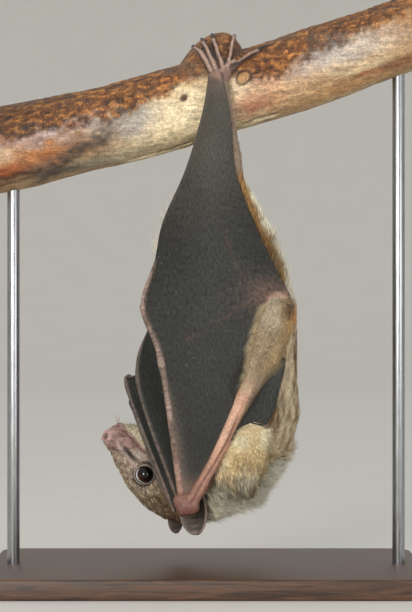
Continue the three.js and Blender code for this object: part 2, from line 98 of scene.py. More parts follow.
# ---- small sums ----------------------------------------------------------------------------------
def smoothstep(low, high, value):
    share = np.clip((value - low) / (high - low), 0, 1)
    return share * share * (3 - 2 * share)


def bell(distance, width):
    return np.exp(-((distance / width) ** 2))


def unit(vectors):
    return vectors / np.maximum(np.linalg.norm(vectors, axis=-1, keepdims=True), 1e-9)


def mix(a, b, share):
    share = np.asarray(share)
    return a * (1 - share[..., None]) + b * share[..., None]


def linear(code):
    """A colour such as 'b79a63' as linear red, green and blue."""
    parts = np.array([int(code[k:k + 2], 16) / 255 for k in (0, 2, 4)])
    return np.where(parts <= 0.04045, parts / 12.92, ((parts + 0.055) / 1.055) ** 2.4)


def plain(code, count):
    """One colour, count times."""
    return np.tile(linear(code), (count, 1))


def washed(tint, *layers):
    """A tint with colours laid over it in turn, each given as its code and its share."""
    for code, share in layers:
        tint = mix(tint, linear(code), share)
    return tint


def away_from(points, place):
    return np.linalg.norm(points - place, axis=1)


def folded_to(points, side):
    """Points mirrored in Y where they don't lie on the given side, 1 or -1."""
    return points * np.where(points[:, 1:2] * side < 0, (1, -1, 1), (1, 1, 1))


def noise(points, size, seed=0):
    """Smooth noise from -1 to 1; size is the width of its features, one number or one per axis."""
    cell = points / np.asarray(size, float) + 31.7 * seed
    low = np.floor(cell).astype(np.int64)
    part = cell - low
    part = part * part * (3 - 2 * part)
    total = np.zeros(len(points))
    for corner in range(8):
        step = np.array([corner & 1, corner >> 1 & 1, corner >> 2 & 1])
        key = ((low + step) @ np.array([73856093, 19349663, 83492791]) + seed * 2654435) & 0x7FFFFFFF
        key = ((key ^ (key >> 13)) * 1274126177) & 0x7FFFFFFF
        value = ((key ^ (key >> 16)) & 0xFFFF) / 32767.5 - 1
        total += value * np.prod(np.where(step, part, 1 - part), axis=1)
    return total


def curve(points, shares):
    """Points at shares from 0 to 1 of the smooth curve through the given points."""
    p = np.asarray(points, float)
    p = np.vstack([2 * p[0] - p[1], p, 2 * p[-1] - p[-2]])
    place = np.clip(shares, 0, 1) * (len(p) - 3)
    i = np.minimum(place.astype(int), len(p) - 4)
    t = (place - i)[:, None]
    start, end = (p[i + 2] - p[i]) / 2, (p[i + 3] - p[i + 1]) / 2
    return ((2 * t**3 - 3 * t**2 + 1) * p[i + 1] + (t**3 - 2 * t**2 + t) * start
            + (3 * t**2 - 2 * t**3) * p[i + 2] + (t**3 - t**2) * end)


def beside(points, path, samples=60):
    """Distance of each point from a smooth path, and the share of the path beside it."""
    line = curve(path, np.linspace(0, 1, samples))
    best = np.full(len(points), 1e9)
    share = np.zeros(len(points))
    for k in range(samples - 1):
        step = line[k + 1] - line[k]
        t = np.clip(((points - line[k]) @ step) / (step @ step), 0, 1)
        gap = np.linalg.norm(points - line[k] - t[:, None] * step, axis=1)
        closer = gap < best
        best[closer] = gap[closer]
        share[closer] = (k + t[closer]) / (samples - 1)
    return best, share


def mirrored(points, side):
    return np.asarray(points, float) * (1, side, 1)


def turned_head(points):
    """From the head's own straight frame to its place on the bat."""
    c, s = math.cos(HEAD_TURN), math.sin(HEAD_TURN)
    x, y, z = np.asarray(points, float).T
    return np.stack([c * x - s * y, s * x + c * y + HEAD_OFFSET, z], axis=-1)


def straight_head(points):
    """From the bat's frame to the head's own straight frame."""
    c, s = math.cos(HEAD_TURN), math.sin(HEAD_TURN)
    x, y, z = np.asarray(points, float).T
    y = y - HEAD_OFFSET
    return np.stack([c * x + s * y, c * y - s * x, z], axis=-1)


# ---- making meshes -------------------------------------------------------------------------------
def facing_out(verts, faces):
    a, b, c = (verts[faces[:, k]] for k in range(3))
    volume = np.einsum("ij,ij->i", a, np.cross(b, c)).sum()
    return faces if volume > 0 else faces[:, ::-1]


def loft(rings):
    """A closed solid through rings of points, an array of (rings, points in a ring, 3)."""
    count, sides = rings.shape[:2]
    verts = np.vstack([rings.reshape(-1, 3), rings[0].mean(0), rings[-1].mean(0)])
    i = np.arange(count - 1)[:, None] * sides
    j = np.arange(sides)
    k = (j + 1) % sides
    a, b, c, d = (grid.ravel() for grid in (i + j, i + k, i + sides + k, i + sides + j))
    last = (count - 1) * sides
    start, end = np.full(sides, count * sides), np.full(sides, count * sides + 1)
    faces = np.vstack([
        np.stack([a, b, c], 1), np.stack([a, c, d], 1),
        np.stack([start, k, j], 1), np.stack([end, last + j, last + k], 1)])
    return verts, facing_out(verts, faces)


def ring_frames(centres, across):
    """Two directions square to a path at each of its points; the first is nearest to across."""
    along = unit(np.gradient(centres, axis=0))
    wide = unit(across - (along * across).sum(1, keepdims=True) * along)
    return wide, np.cross(along, wide)


def grid_normals(grid):
    return unit(np.cross(np.gradient(grid, axis=1), np.gradient(grid, axis=0))).reshape(-1, 3)


def sheet(grid, top, bottom, rim):
    """A closed solid between two faces laid over a grid, with a rim down each of its sides."""
    edges = []
    for k, inner in ((0, 1), (-1, -2)):
        outward = unit(grid[:, k] - grid[:, inner])
        edges.append((top[:, k] + bottom[:, k]) / 2 + outward * rim[:, k, None])
    return loft(np.concatenate([top, edges[1][:, None], bottom[:, ::-1], edges[0][:, None]], axis=1))


def round_sheet(values):
    """A grid's values in the order of its sheet's vertices; the two ends come last."""
    ring = np.concatenate([values, values[:, -1:], values[:, ::-1], values[:, :1]], axis=1)
    return np.concatenate([ring.ravel(), [ring[0].mean(), ring[-1].mean()]])


def tube(centres, radii, sides, across=(0, 1, 0), flat=1.0):
    """A tube with domed ends along a path. flat is its depth as a share of its width."""
    wide, deep = ring_frames(centres, np.asarray(across, float))
    angle = np.arange(sides) / sides * 2 * np.pi
    radii = np.broadcast_to(radii, len(centres))[:, None, None]
    rings = (centres[:, None] + radii * (wide[:, None] * np.cos(angle)[:, None]
                                         + flat * deep[:, None] * np.sin(angle)[:, None]))
    along = unit(np.gradient(centres, axis=0))
    domes = []
    for end, sign in ((0, -1), (-1, 1)):
        lifts = np.sin(np.array([0.35, 0.7, 1.05, 1.4]))
        caps = [centres[end] + (rings[end] - centres[end]) * math.sqrt(1 - s * s)
                + sign * along[end] * radii[end, 0, 0] * s * 0.9 for s in lifts]
        domes.append(np.array(caps[::-1] if end == 0 else caps))
    return loft(np.concatenate([domes[0], rings, domes[1]]))


def joined(shells):
    """Several (verts, faces) as one, with the number of the shell that each vertex is in."""
    offsets = np.cumsum([0] + [len(v) for v, _ in shells])
    verts = np.vstack([v for v, _ in shells])
    faces = np.vstack([f + o for (_, f), o in zip(shells, offsets)])
    owner = np.repeat(np.arange(len(shells)), [len(v) for v, _ in shells])
    return verts, faces, owner


def paint(mesh, tint, values=None):
    """Colours and values by vertex, for the materials to read."""
    layer = mesh.color_attributes.new("tint", "FLOAT_COLOR", "POINT")
    rgba = np.ones((len(tint), 4), np.float32)
    rgba[:, :3] = np.clip(tint, 0, 1)
    layer.data.foreach_set("color", rgba.ravel())
    for key, value in (values or {}).items():
        mesh.attributes.new(key, "FLOAT", "POINT").data.foreach_set("value", value.astype(np.float32))


def new_piece(name, verts, faces, material, tint, values=None, uv=None):
    """A piece from millimetre vertices and triangles, with its colours and values by vertex."""
    mesh = bpy.data.meshes.new(name)
    mesh.vertices.add(len(verts))
    move_to(mesh, verts)
    mesh.loops.add(faces.size)
    mesh.loops.foreach_set("vertex_index", faces.astype(np.int32).ravel())
    mesh.polygons.add(len(faces))
    mesh.polygons.foreach_set("loop_start", np.arange(0, faces.size, 3, dtype=np.int32))
    mesh.update(calc_edges=True)
    mesh.validate()
    mesh.shade_smooth()
    paint(mesh, tint, values)
    for key, value in (uv or {}).items():
        layer = mesh.uv_layers.new(name=key)
        layer.data.foreach_set("uv", value[faces.ravel()].astype(np.float32).ravel())
    piece = bpy.data.objects.new(name, mesh)
    bpy.context.scene.collection.objects.link(piece)
    mesh.materials.append(material)
    return piece


def placed(piece, slot, *nodes):
    """The piece rides on the one body and stands for the given nodes; slot is not used."""
    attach(piece, "root")
    if nodes:
        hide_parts(*nodes)
    return piece


# ---- materials -----------------------------------------------------------------------------------
class Finish:
    """A material as it is put together: its nodes, and its one Principled shader."""

    def __init__(self, name, **sockets):
        self.material = bpy.data.materials.new(name)
        self.material.use_nodes = True
        self.tree = self.material.node_tree
        self.shader = self.tree.nodes["Principled BSDF"]
        self.heights = []
        for key, value in sockets.items():
            self.shader.inputs[key.replace("_", " ")].default_value = value

    def feed(self, socket, value):
        """Links a socket, or sets it; text is a colour code."""
        if isinstance(value, bpy.types.NodeSocket):
            self.tree.links.new(value, socket)
        else:
            socket.default_value = (*linear(value), 1) if isinstance(value, str) else value

    def node(self, kind, inputs=None, **settings):
        made = self.tree.nodes.new(kind)
        for key, value in settings.items():
            setattr(made, key, value)
        for key, value in (inputs or {}).items():
            self.feed(made.inputs[key], value)
        return made

    def place(self, stretch=(1, 1, 1)):
        """Object coordinates in millimetres, pressed together along the given axes."""
        scale = tuple(s / MM for s in stretch)
        coords = self.node("ShaderNodeTexCoord").outputs["Object"]
        return self.node("ShaderNodeMapping", {"Vector": coords, "Scale": scale}).outputs[0]

    def grain(self, name, stretch):
        """The piece's own UV map, whose unit is a millimetre on the surface."""
        coords = self.node("ShaderNodeUVMap", uv_map=name).outputs[0]
        return self.node("ShaderNodeMapping", {"Vector": coords, "Scale": (*stretch, 1)}).outputs[0]

    def noise(self, coords, scale, detail=3.0, rough=0.55, warp=0.0):
        return self.node("ShaderNodeTexNoise", {"Vector": coords, "Scale": scale, "Detail": detail,
                                                "Roughness": rough, "Distortion": warp}).outputs["Fac"]

    def cells(self, coords, scale, feature="F1"):
        return self.node("ShaderNodeTexVoronoi", {"Vector": coords, "Scale": scale},
                         feature=feature).outputs["Distance"]

    def value(self, name):
        return self.node("ShaderNodeAttribute", attribute_name=name).outputs["Fac"]

    def tint(self):
        return self.node("ShaderNodeAttribute", attribute_name="tint").outputs["Color"]

    def maths(self, operation, a, b=0.0, clamp=False):
        made = self.node("ShaderNodeMath", operation=operation, use_clamp=clamp)
        for socket, value in zip(made.inputs, (a, b)):
            self.feed(socket, value)
        return made.outputs[0]

    def spread(self, value, low, high, to_low=0.0, to_high=1.0):
        return self.node("ShaderNodeMapRange", {"Value": value, "From Min": low, "From Max": high,
                                                "To Min": to_low, "To Max": to_high}).outputs[0]

    def blend(self, share, a, b, how="MIX"):
        made = self.node("ShaderNodeMix", data_type="RGBA", blend_type=how)
        for socket, value in zip((made.inputs[0], made.inputs[6], made.inputs[7]), (share, a, b)):
            self.feed(socket, value)
        return made.outputs[2]

    def shade(self, colour, share, low=0.7, high=1.25):
        """A colour made darker and lighter by a pattern."""
        grey = self.spread(share, 0.25, 0.75, low, high)
        return self.node("ShaderNodeVectorMath", {0: colour, 1: grey},
                         operation="MULTIPLY").outputs[0]

    def bump(self, height, depth_mm, strength=1.0):
        self.heights.append((height, depth_mm, strength))

    def finished(self, colour=None, roughness=None):
        if colour is not None:
            self.tree.links.new(colour, self.shader.inputs["Base Color"])
        if roughness is not None:
            self.tree.links.new(roughness, self.shader.inputs["Roughness"])
        normal = None
        for height, depth, strength in self.heights:
            made = self.node("ShaderNodeBump", {"Height": height, "Strength": strength,
                                                "Distance": depth * MM})
            if normal is not None:
                self.tree.links.new(normal, made.inputs["Normal"])
            normal = made.outputs[0]
        if normal is not None:
            self.tree.links.new(normal, self.shader.inputs["Normal"])
        return self.material


def skin_finish():
    """Bare or thinly haired skin: its colours come from the tint, its grain from where it is bare."""
    f = Finish("bat_skin", Roughness=0.6, Subsurface_Weight=0.12, Subsurface_Scale=0.0012)
    fine = f.noise(f.place(), 1.3, 4, 0.65)
    wrinkles = f.noise(f.place(), 0.55, 3, 0.6, 1.2)
    creases = f.noise(f.place(), 1.0, 2, 0.5, 2.2)
    pores = f.cells(f.place(), 1.5)
    colour = f.shade(f.shade(f.tint(), fine, 0.66, 1.32), wrinkles, 0.84, 1.12)
    colour = f.shade(colour, creases, 0.74, 1.2)
    f.bump(wrinkles, 0.5, 0.4)
    f.bump(creases, 0.3, 0.5)
    f.bump(pores, 0.12, 0.35)
    f.bump(fine, 0.3, 0.5)
    return f.finished(colour, f.spread(f.value("bare"), 0, 1, 0.85, 0.46))


def wing_finish():
    """Matt dark wing skin with a fine grain along it and a few pale flecks, pinker over the bones."""
    f = Finish("wing_skin", Roughness=0.66)
    f.shader.inputs["Specular IOR Level"].default_value = 0.22
    grain = f.noise(f.grain("grain", (1.5, 0.55)), 1.0, 3, 0.62)
    weave = f.noise(f.grain("grain", (3.2, 2.2)), 1.0, 2, 0.5)
    broad = f.noise(f.place(), 0.09, 4, 0.6)
    flecks = f.spread(f.cells(f.grain("grain", (0.42, 0.2)), 1.0), 0.045, 0.1, 1, 0)
    some = f.spread(f.noise(f.place(), 0.3, 2), 0.5, 0.62)
    colour = f.shade(f.shade(f.tint(), grain, 0.42, 1.62), weave, 0.7, 1.3)
    colour = f.shade(colour, broad, 0.86, 1.15)
    colour = f.blend(f.maths("MULTIPLY", f.maths("MULTIPLY", flecks, some), 0.6), colour, "77746c")
    f.bump(grain, 0.3, 0.6)
    f.bump(weave, 0.12, 0.5)
    return f.finished(colour, f.spread(f.value("bone"), 0, 1, 0.66, 0.5))


def coat_finish():
    f = Finish("fur", Roughness=0.6, Sheen_Weight=0.1, Sheen_Roughness=0.5)
    f.shader.inputs["Specular IOR Level"].default_value = 0.3
    mottle = f.noise(f.place(), 0.5, 3, 0.6)
    return f.finished(f.shade(f.tint(), mottle, 0.92, 1.08))


def eye_finish():
    f = Finish("eye", Roughness=0.3, IOR=1.4, Coat_Weight=0.75, Coat_Roughness=0.02)
    f.shader.inputs["Specular IOR Level"].default_value = 0.0
    streaks = f.noise(f.place(), 1.4, 4, 0.6)
    return f.finished(f.shade(f.tint(), streaks, 0.8, 1.25))


def claw_finish():
    f = Finish("claw", Roughness=0.45)
    f.shader.inputs["Specular IOR Level"].default_value = 0.35
    along = f.noise(f.place((1, 1, 0.4)), 1.3, 3)
    f.bump(along, 0.08, 0.4)
    return f.finished(f.shade(f.tint(), along, 0.8, 1.2))


def branch_finish():
    """Peeled wood and fibrous bark, painted by the tint; growth rings show on the two cut ends."""
    f = Finish("branch", Roughness=0.7)
    bark = f.value("bark")
    fibres = f.noise(f.place((0.16, 1, 1)), 0.9, 5, 0.65, 0.3)
    fine = f.noise(f.place((0.45, 1, 1)), 1.6, 4, 0.65, 0.6)
    crumbs = f.noise(f.place((1.5, 0.9, 0.5)), 1.3, 3, 0.7, 1.2)
    specks = f.spread(f.noise(f.place((0.7, 1, 1)), 1.7, 3, 0.75, 0.5), 0.36, 0.5)
    scratches = f.noise(f.place((1.6, 1, 0.4)), 1.0, 3, 0.7, 0.8)
    rings = f.node("ShaderNodeTexNoise", {"W": f.maths("MULTIPLY", f.value("ring"), 26.0), "Scale": 1.0},
                   noise_dimensions="1D").outputs["Fac"]
    cut_end = f.spread(f.value("ring"), 0.97, 0.94)
    colour = f.shade(f.tint(), fibres, 0.62, 1.32)
    colour = f.shade(colour, fine, 0.5, 1.45)
    colour = f.shade(f.shade(colour, specks, 0.78, 1.08), scratches, 0.8, 1.2)
    rough_bark = f.shade(colour, crumbs, -0.1, 2.2)
    colour = f.blend(bark, colour, rough_bark)
    colour = f.blend(cut_end, colour, f.shade(f.tint(), rings, 0.6, 1.3))
    f.bump(fibres, 0.5, 0.6)
    f.bump(f.maths("MULTIPLY", crumbs, bark), 1.2, 0.8)
    f.bump(fine, 0.3, 0.5)
    return f.finished(colour, f.spread(fibres, 0.3, 0.7, 0.55, 0.8))


def base_finish():
    f = Finish("dark_oiled_wood", Roughness=0.42)
    grain = f.noise(f.place((0.06, 1, 1)), 0.55, 5, 0.6, 0.8)
    pores = f.noise(f.place((0.05, 1, 1)), 4.0, 3, 0.6)
    colour = f.blend(f.spread(grain, 0.35, 0.65), "2e1d13", "5d3f2a")
    colour = f.shade(colour, pores, 0.8, 1.15)
    f.bump(pores, 0.12, 0.4)
    return f.finished(colour, f.spread(grain, 0.3, 0.7, 0.38, 0.5))


def rod_finish():
    f = Finish("brushed_steel", Metallic=1.0, Roughness=0.3)
    brushed = f.noise(f.place((1, 1, 0.03)), 4.0, 3, 0.6)
    f.bump(brushed, 0.04, 0.4)
    return f.finished(f.blend(f.spread(brushed, 0.3, 0.7), "8d8f92", "b4b6b8"),
                      f.spread(brushed, 0.3, 0.7, 0.26, 0.38))


def floor_finish():
    f = Finish("studio_floor", Roughness=0.9)
    return f.finished(f.blend(f.noise(f.place(), 0.02, 3), "d6d3cd", "dcd9d3"))


# ---- stage, light and camera ---------------------------------------------------------------------
STUDIO = {"flat": 2.6, "sweep": 1.0, "steps": 14}  # radii of the floor and of its upward curve, m


def add_stage():
    """A round floor that sweeps up all round, under an even pale sky."""
    bpy.ops.mesh.primitive_circle_add(vertices=96, radius=STUDIO["flat"], fill_type="NGON")
    floor = bpy.context.object
    floor.name = "studio_floor"
    bpy.ops.object.mode_set(mode="EDIT")
    bpy.ops.mesh.select_mode(type="EDGE")
    bpy.ops.mesh.select_all(action="SELECT")
    bpy.ops.mesh.region_to_loop()
    reach, height = STUDIO["flat"], 0
    for k in range(1, STUDIO["steps"] + 1):
        turn = math.pi / 2 * k / STUDIO["steps"]
        wider = STUDIO["flat"] + STUDIO["sweep"] * math.sin(turn)
        higher = STUDIO["sweep"] * (1 - math.cos(turn))
        bpy.ops.mesh.extrude_region_move(TRANSFORM_OT_translate={"value": (0, 0, higher - height)})
        bpy.ops.transform.resize(value=(wider / reach, wider / reach, 1), center_override=(0, 0, 0))
        reach, height = wider, higher
    bpy.ops.object.mode_set(mode="OBJECT")
    bpy.ops.object.shade_smooth()
    floor.data.materials.append(floor_finish())
    world = bpy.data.worlds.new("studio")
    bpy.context.scene.world = world
    world.use_nodes = True
    world.node_tree.nodes["Background"].inputs["Color"].default_value = (0.86, 0.86, 0.85, 1)
    world.node_tree.nodes["Background"].inputs["Strength"].default_value = 0.8


def add_light(name, place, target, size, power, warmth):
    lamp = bpy.data.lights.new(name, "AREA")
    lamp.shape = "DISK"
    lamp.size = size
    lamp.energy = power
    lamp.color = warmth
    holder = bpy.data.objects.new(name, lamp)
    bpy.context.scene.collection.objects.link(holder)
    holder.location = place
    holder.rotation_euler = (Vector(target) - Vector(place)).to_track_quat("-Z", "Y").to_euler()


def add_camera():
    data = bpy.data.cameras.new("camera")
    data.sensor_width = 36
    data.lens = 147.06  # takes in 244.8 mm of height at one metre
    camera = bpy.data.objects.new("camera", data)
    bpy.context.scene.collection.objects.link(camera)
    camera.location = (0, -1.0, 0.1108)
    camera.rotation_euler = (math.pi / 2, 0, 0)
    bpy.context.scene.camera = camera
    bpy.context.scene.view_settings.view_transform = "Standard"


# ---- stand ---------------------------------------------------------------------------------------
def deselect_all():
    if bpy.context.object and bpy.context.object.mode != "OBJECT":
        bpy.ops.object.mode_set(mode="OBJECT")
    bpy.ops.object.select_all(action="DESELECT")


def apply_place(piece):
    deselect_all()
    piece.select_set(True)
    bpy.context.view_layer.objects.active = piece
    bpy.ops.object.transform_apply(location=True, rotation=True, scale=True)


def rounded(piece, width, segments, angle):
    bevel = piece.modifiers.new("edges", "BEVEL")
    bevel.width = width * MM
    bevel.segments = segments
    bevel.limit_method = "ANGLE"
    bevel.angle_limit = math.radians(angle)
    bpy.context.view_layer.objects.active = piece
    bpy.ops.object.modifier_apply(modifier=bevel.name)


def pick_edges(piece, wanted):
    """Opens the piece for editing with those edges chosen whose two ends wanted(a, b) takes."""
    bpy.ops.object.mode_set(mode="EDIT")
    bpy.ops.mesh.select_all(action="DESELECT")
    bpy.ops.object.mode_set(mode="OBJECT")
    verts = piece.data.vertices
    for edge in piece.data.edges:
        edge.select = wanted(*(verts[k].co for k in edge.vertices))
    bpy.ops.object.mode_set(mode="EDIT")
    bpy.ops.mesh.select_mode(type="EDGE")


def smooth_sides(piece, degrees):
    deselect_all()
    piece.select_set(True)
    bpy.ops.object.shade_smooth_by_angle(angle=math.radians(degrees))


def places_in(mesh):
    flat = np.zeros(len(mesh.vertices) * 3)
    mesh.vertices.foreach_get("co", flat)
    return flat.reshape(-1, 3)


def move_to(mesh, verts):
    """Moves the vertices of a mesh to places in millimetres."""
    mesh.vertices.foreach_set("co", (np.asarray(verts) * MM).astype(np.float32).ravel())


def add_base():
    deselect_all()
    bpy.ops.mesh.primitive_cube_add(size=1, location=(0, 0, BASE["height"] / 2 * MM))
    base = bpy.context.object
    base.name = "display_base"
    base.scale = (BASE["length"] * MM, BASE["depth"] * MM, BASE["height"] * MM)
    apply_place(base)
    pick_edges(base, lambda a, b: abs(a.z - b.z) > BASE["height"] / 2 * MM)
    bpy.ops.mesh.bevel(offset=BASE["corner"] * MM, segments=12)
    bpy.ops.object.mode_set(mode="OBJECT")
    rounded(base, BASE["edge"], 4, 50)
    base.data.materials.append(base_finish())
    smooth_sides(base, 30)
    placed(base, "base", "stand_base")


def add_rod(side, sign, finish):
    x = sign * ROD["x"]
    top = perch_centre(x) - float(perch_radius(x, -math.pi / 2)) + ROD["into_perch"]
    bottom = BASE["height"] - ROD["sunk"]
    deselect_all()
    bpy.ops.mesh.primitive_cylinder_add(
        vertices=40, radius=ROD["radius"] * MM, depth=(top - bottom) * MM,
        location=(x * MM, 0, (top + bottom) / 2 * MM))
    rod = bpy.context.object
    rod.name = f"display_rod_{side}"
    apply_place(rod)
    rounded(rod, 0.4, 3, 60)
    rod.data.materials.append(finish)
    smooth_sides(rod, 40)
    placed(rod, "rod", f"stand_rod_{side}")


# ---- branch --------------------------------------------------------------------------------------
def perch_centre(x):
    return PERCH["height"] + PERCH["slope"] * x + PERCH["bend"] * x * x


def perch_radius(x, angle):
    x = np.asarray(x, float)
    left = x < KNOB["x"]
    reach = np.where(left, (KNOB["x"] - x) / KNOB["left"], (x - KNOB["x"]) / KNOB["right"])
    rise = KNOB["rise"] * np.maximum(0, 1 - np.abs(reach) ** np.where(left, 2, 3))
    up = np.maximum(0, np.sin(angle))
    uneven = 0.35 * np.sin(x * 0.11 + 2 * angle) + 0.3 * np.sin(x * 0.05 - 3 * angle)
    return PERCH["radius"] - PERCH["taper"] * x + rise * up * up + uneven


def on_perch(x, angle, lift):
    """Points at x along the perch, at an angle up from its front, lifted off its surface."""
    x, angle, lift = np.broadcast_arrays(*(np.asarray(v, float) for v in (x, angle, lift)))
    reach = perch_radius(x, angle) + lift
    return np.stack([x, -reach * np.cos(angle), perch_centre(x) + reach * np.sin(angle)], axis=-1)


# Stains, as place along the perch, degrees up from its front, length, width, colour and strength. The pale
# lilac-grey one at -62 along, 8 degrees up, is a painted highlight.
STAINS = [
    # the third stain here, pale lilac-grey on the front, is a painted highlight
    (-8, -14, 34, 17, "ecd6ac", 0.9), (36, -12, 40, 12, "c49a6c", 0.6), (-62, 8, 34, 7, "a8a1a6", 0.85),
    (50, 2, 44, 7, "bfb5ac", 0.8), (-44, -36, 16, 4, "8d6a50", 0.5), (-30, -14, 12, 7, "77767a", 0.7),
    (-26, 2, 9, 6, "8d8a88", 0.6), (-65, -24, 22, 8, "a9662f", 0.9), (-80, 26, 10, 9, "8e4f25", 0.8),
    (-54, -60, 18, 5, "3c3b3a", 0.85), (-40, -58, 10, 4, "5d5a52", 0.6),
    (-30, -56, 24, 6, "a39b80", 0.7), (-10, 42, 12, 4, "6b2f22", 0.9), (18, -32, 13, 7, "98452b", 0.85),
    (52, 28, 9, 6, "434a55", 0.9), (40, 20, 10, 5, "6d7074", 0.6), (72, -46, 20, 2.5, "85492a", 0.85),
    (62, -62, 26, 4, "ad7c4b", 0.7), (26, 16, 13, 9, "b8743f", 0.8), (80, 20, 14, 8, "a9794a", 0.8),
    (-78, -44, 17, 4, "2c1509", 0.97), (-80, -34, 14, 3, "b05a26", 0.8),
    (-4, -24, 20, 10, "f2e0ba", 0.7), (84, -20, 16, 6, "c19a72", 0.6), (2, -56, 22, 6, "cdbb92", 0.6),
]
# Stained streaks, as points (along the perch, degrees up), width, colour and strength.
STREAKS = [
    ([(-29, 22), (-34, 8), (-42, -14), (-52, -27), (-66, -60)], 4.2, "453f3d", 0.85),
    ([(-40, -20), (-52, -34), (-64, -72)], 2.6, "26211f", 0.8),
    ([(-90, 34), (-60, 30), (-46, 22)], 2.2, "a5612c", 0.6),
    ([(-92, -30), (-80, -36), (-66, -50)], 1.0, "3a1a0e", 0.9),
    ([(-92, -66), (-78, -60), (-66, -50)], 1.0, "33180f", 0.9),
    ([(28, 44), (31, 24), (27, 10)], 0.5, "5a3219", 0.8),
    ([(36, 34), (37, 14), (38, 2)], 0.5, "7a4826", 0.7),
    ([(22, 52), (24, 30), (22, 16)], 0.5, "6b3d1f", 0.7),
    ([(-14, 46), (-6, 38), (4, 34)], 1.4, "4f241c", 0.8),
    ([(60, -44), (76, -40), (92, -38)], 0.9, "8a4c2c", 0.8),
    ([(34, -50), (52, -46), (66, -48)], 0.6, "94603a", 0.7),
]
# How far up the bark begins, as the sine of the angle from the front, at places along the perch.
BARK_EDGE = [
    (-92, 0.04), (-57, 0.1), (-30, 0.2), (-18, 0.34), (-4, 0.48), (8, 0.3), (18, 0.02), (28, 0.06),
    (37, 0.2), (57, 0.3), (92, 0.35),
]
KNOTS = [(14.8, 12, 2.7), (-8.7, 8, 1.1)]  # place along the perch, degrees up, radius of its ring
TORN_STRIPS = [(-34, -3, -72), (12, 31, -62)]  # from, to, degrees up from the front


def add_branch():
    spokes, cuts, again = ((170, 98, 2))
    deselect_all()
    bpy.ops.mesh.primitive_cylinder_add(vertices=spokes, radius=1, depth=2, end_fill_type="TRIFAN",
                                        rotation=(0, math.pi / 2, 0))
    branch = bpy.context.object
    branch.name = "branch"
    apply_place(branch)
    for number in (cuts, again):
        if number:
            pick_edges(branch, lambda a, b: abs(a.x - b.x) > 1e-4)
            bpy.ops.mesh.subdivide(number_cuts=number)
            bpy.ops.object.mode_set(mode="OBJECT")
    mesh = branch.data
    along, y, z = places_in(mesh).T
    xs = along * PERCH["length"] / 2
    spoke = np.hypot(y, z)
    turn = np.arctan2(z, -y)  # -pi to pi, up from the front
    flat = on_perch(xs, turn, 0)
    lift, tint, bark = branch_surface(xs, turn, flat)
    lift = lift - 0.7 * bell(np.abs(np.abs(xs) - PERCH["length"] / 2), 0.5)
    bulge = on_perch(xs, turn, lift)
    axis = np.stack([xs, np.zeros(len(xs)), perch_centre(xs)], 1)
    move_to(mesh, axis + (bulge - axis) * np.clip(spoke, 0, 1)[:, None])
    tint = washed(tint, ("cdb085", spoke < 0.5))
    paint(mesh, tint, {"bark": bark, "ring": np.clip(spoke, 0, 1)})
    mesh.materials.append(branch_finish())
    mesh.update()
    smooth_sides(branch, 50)
    placed(branch, "perch", "perch")


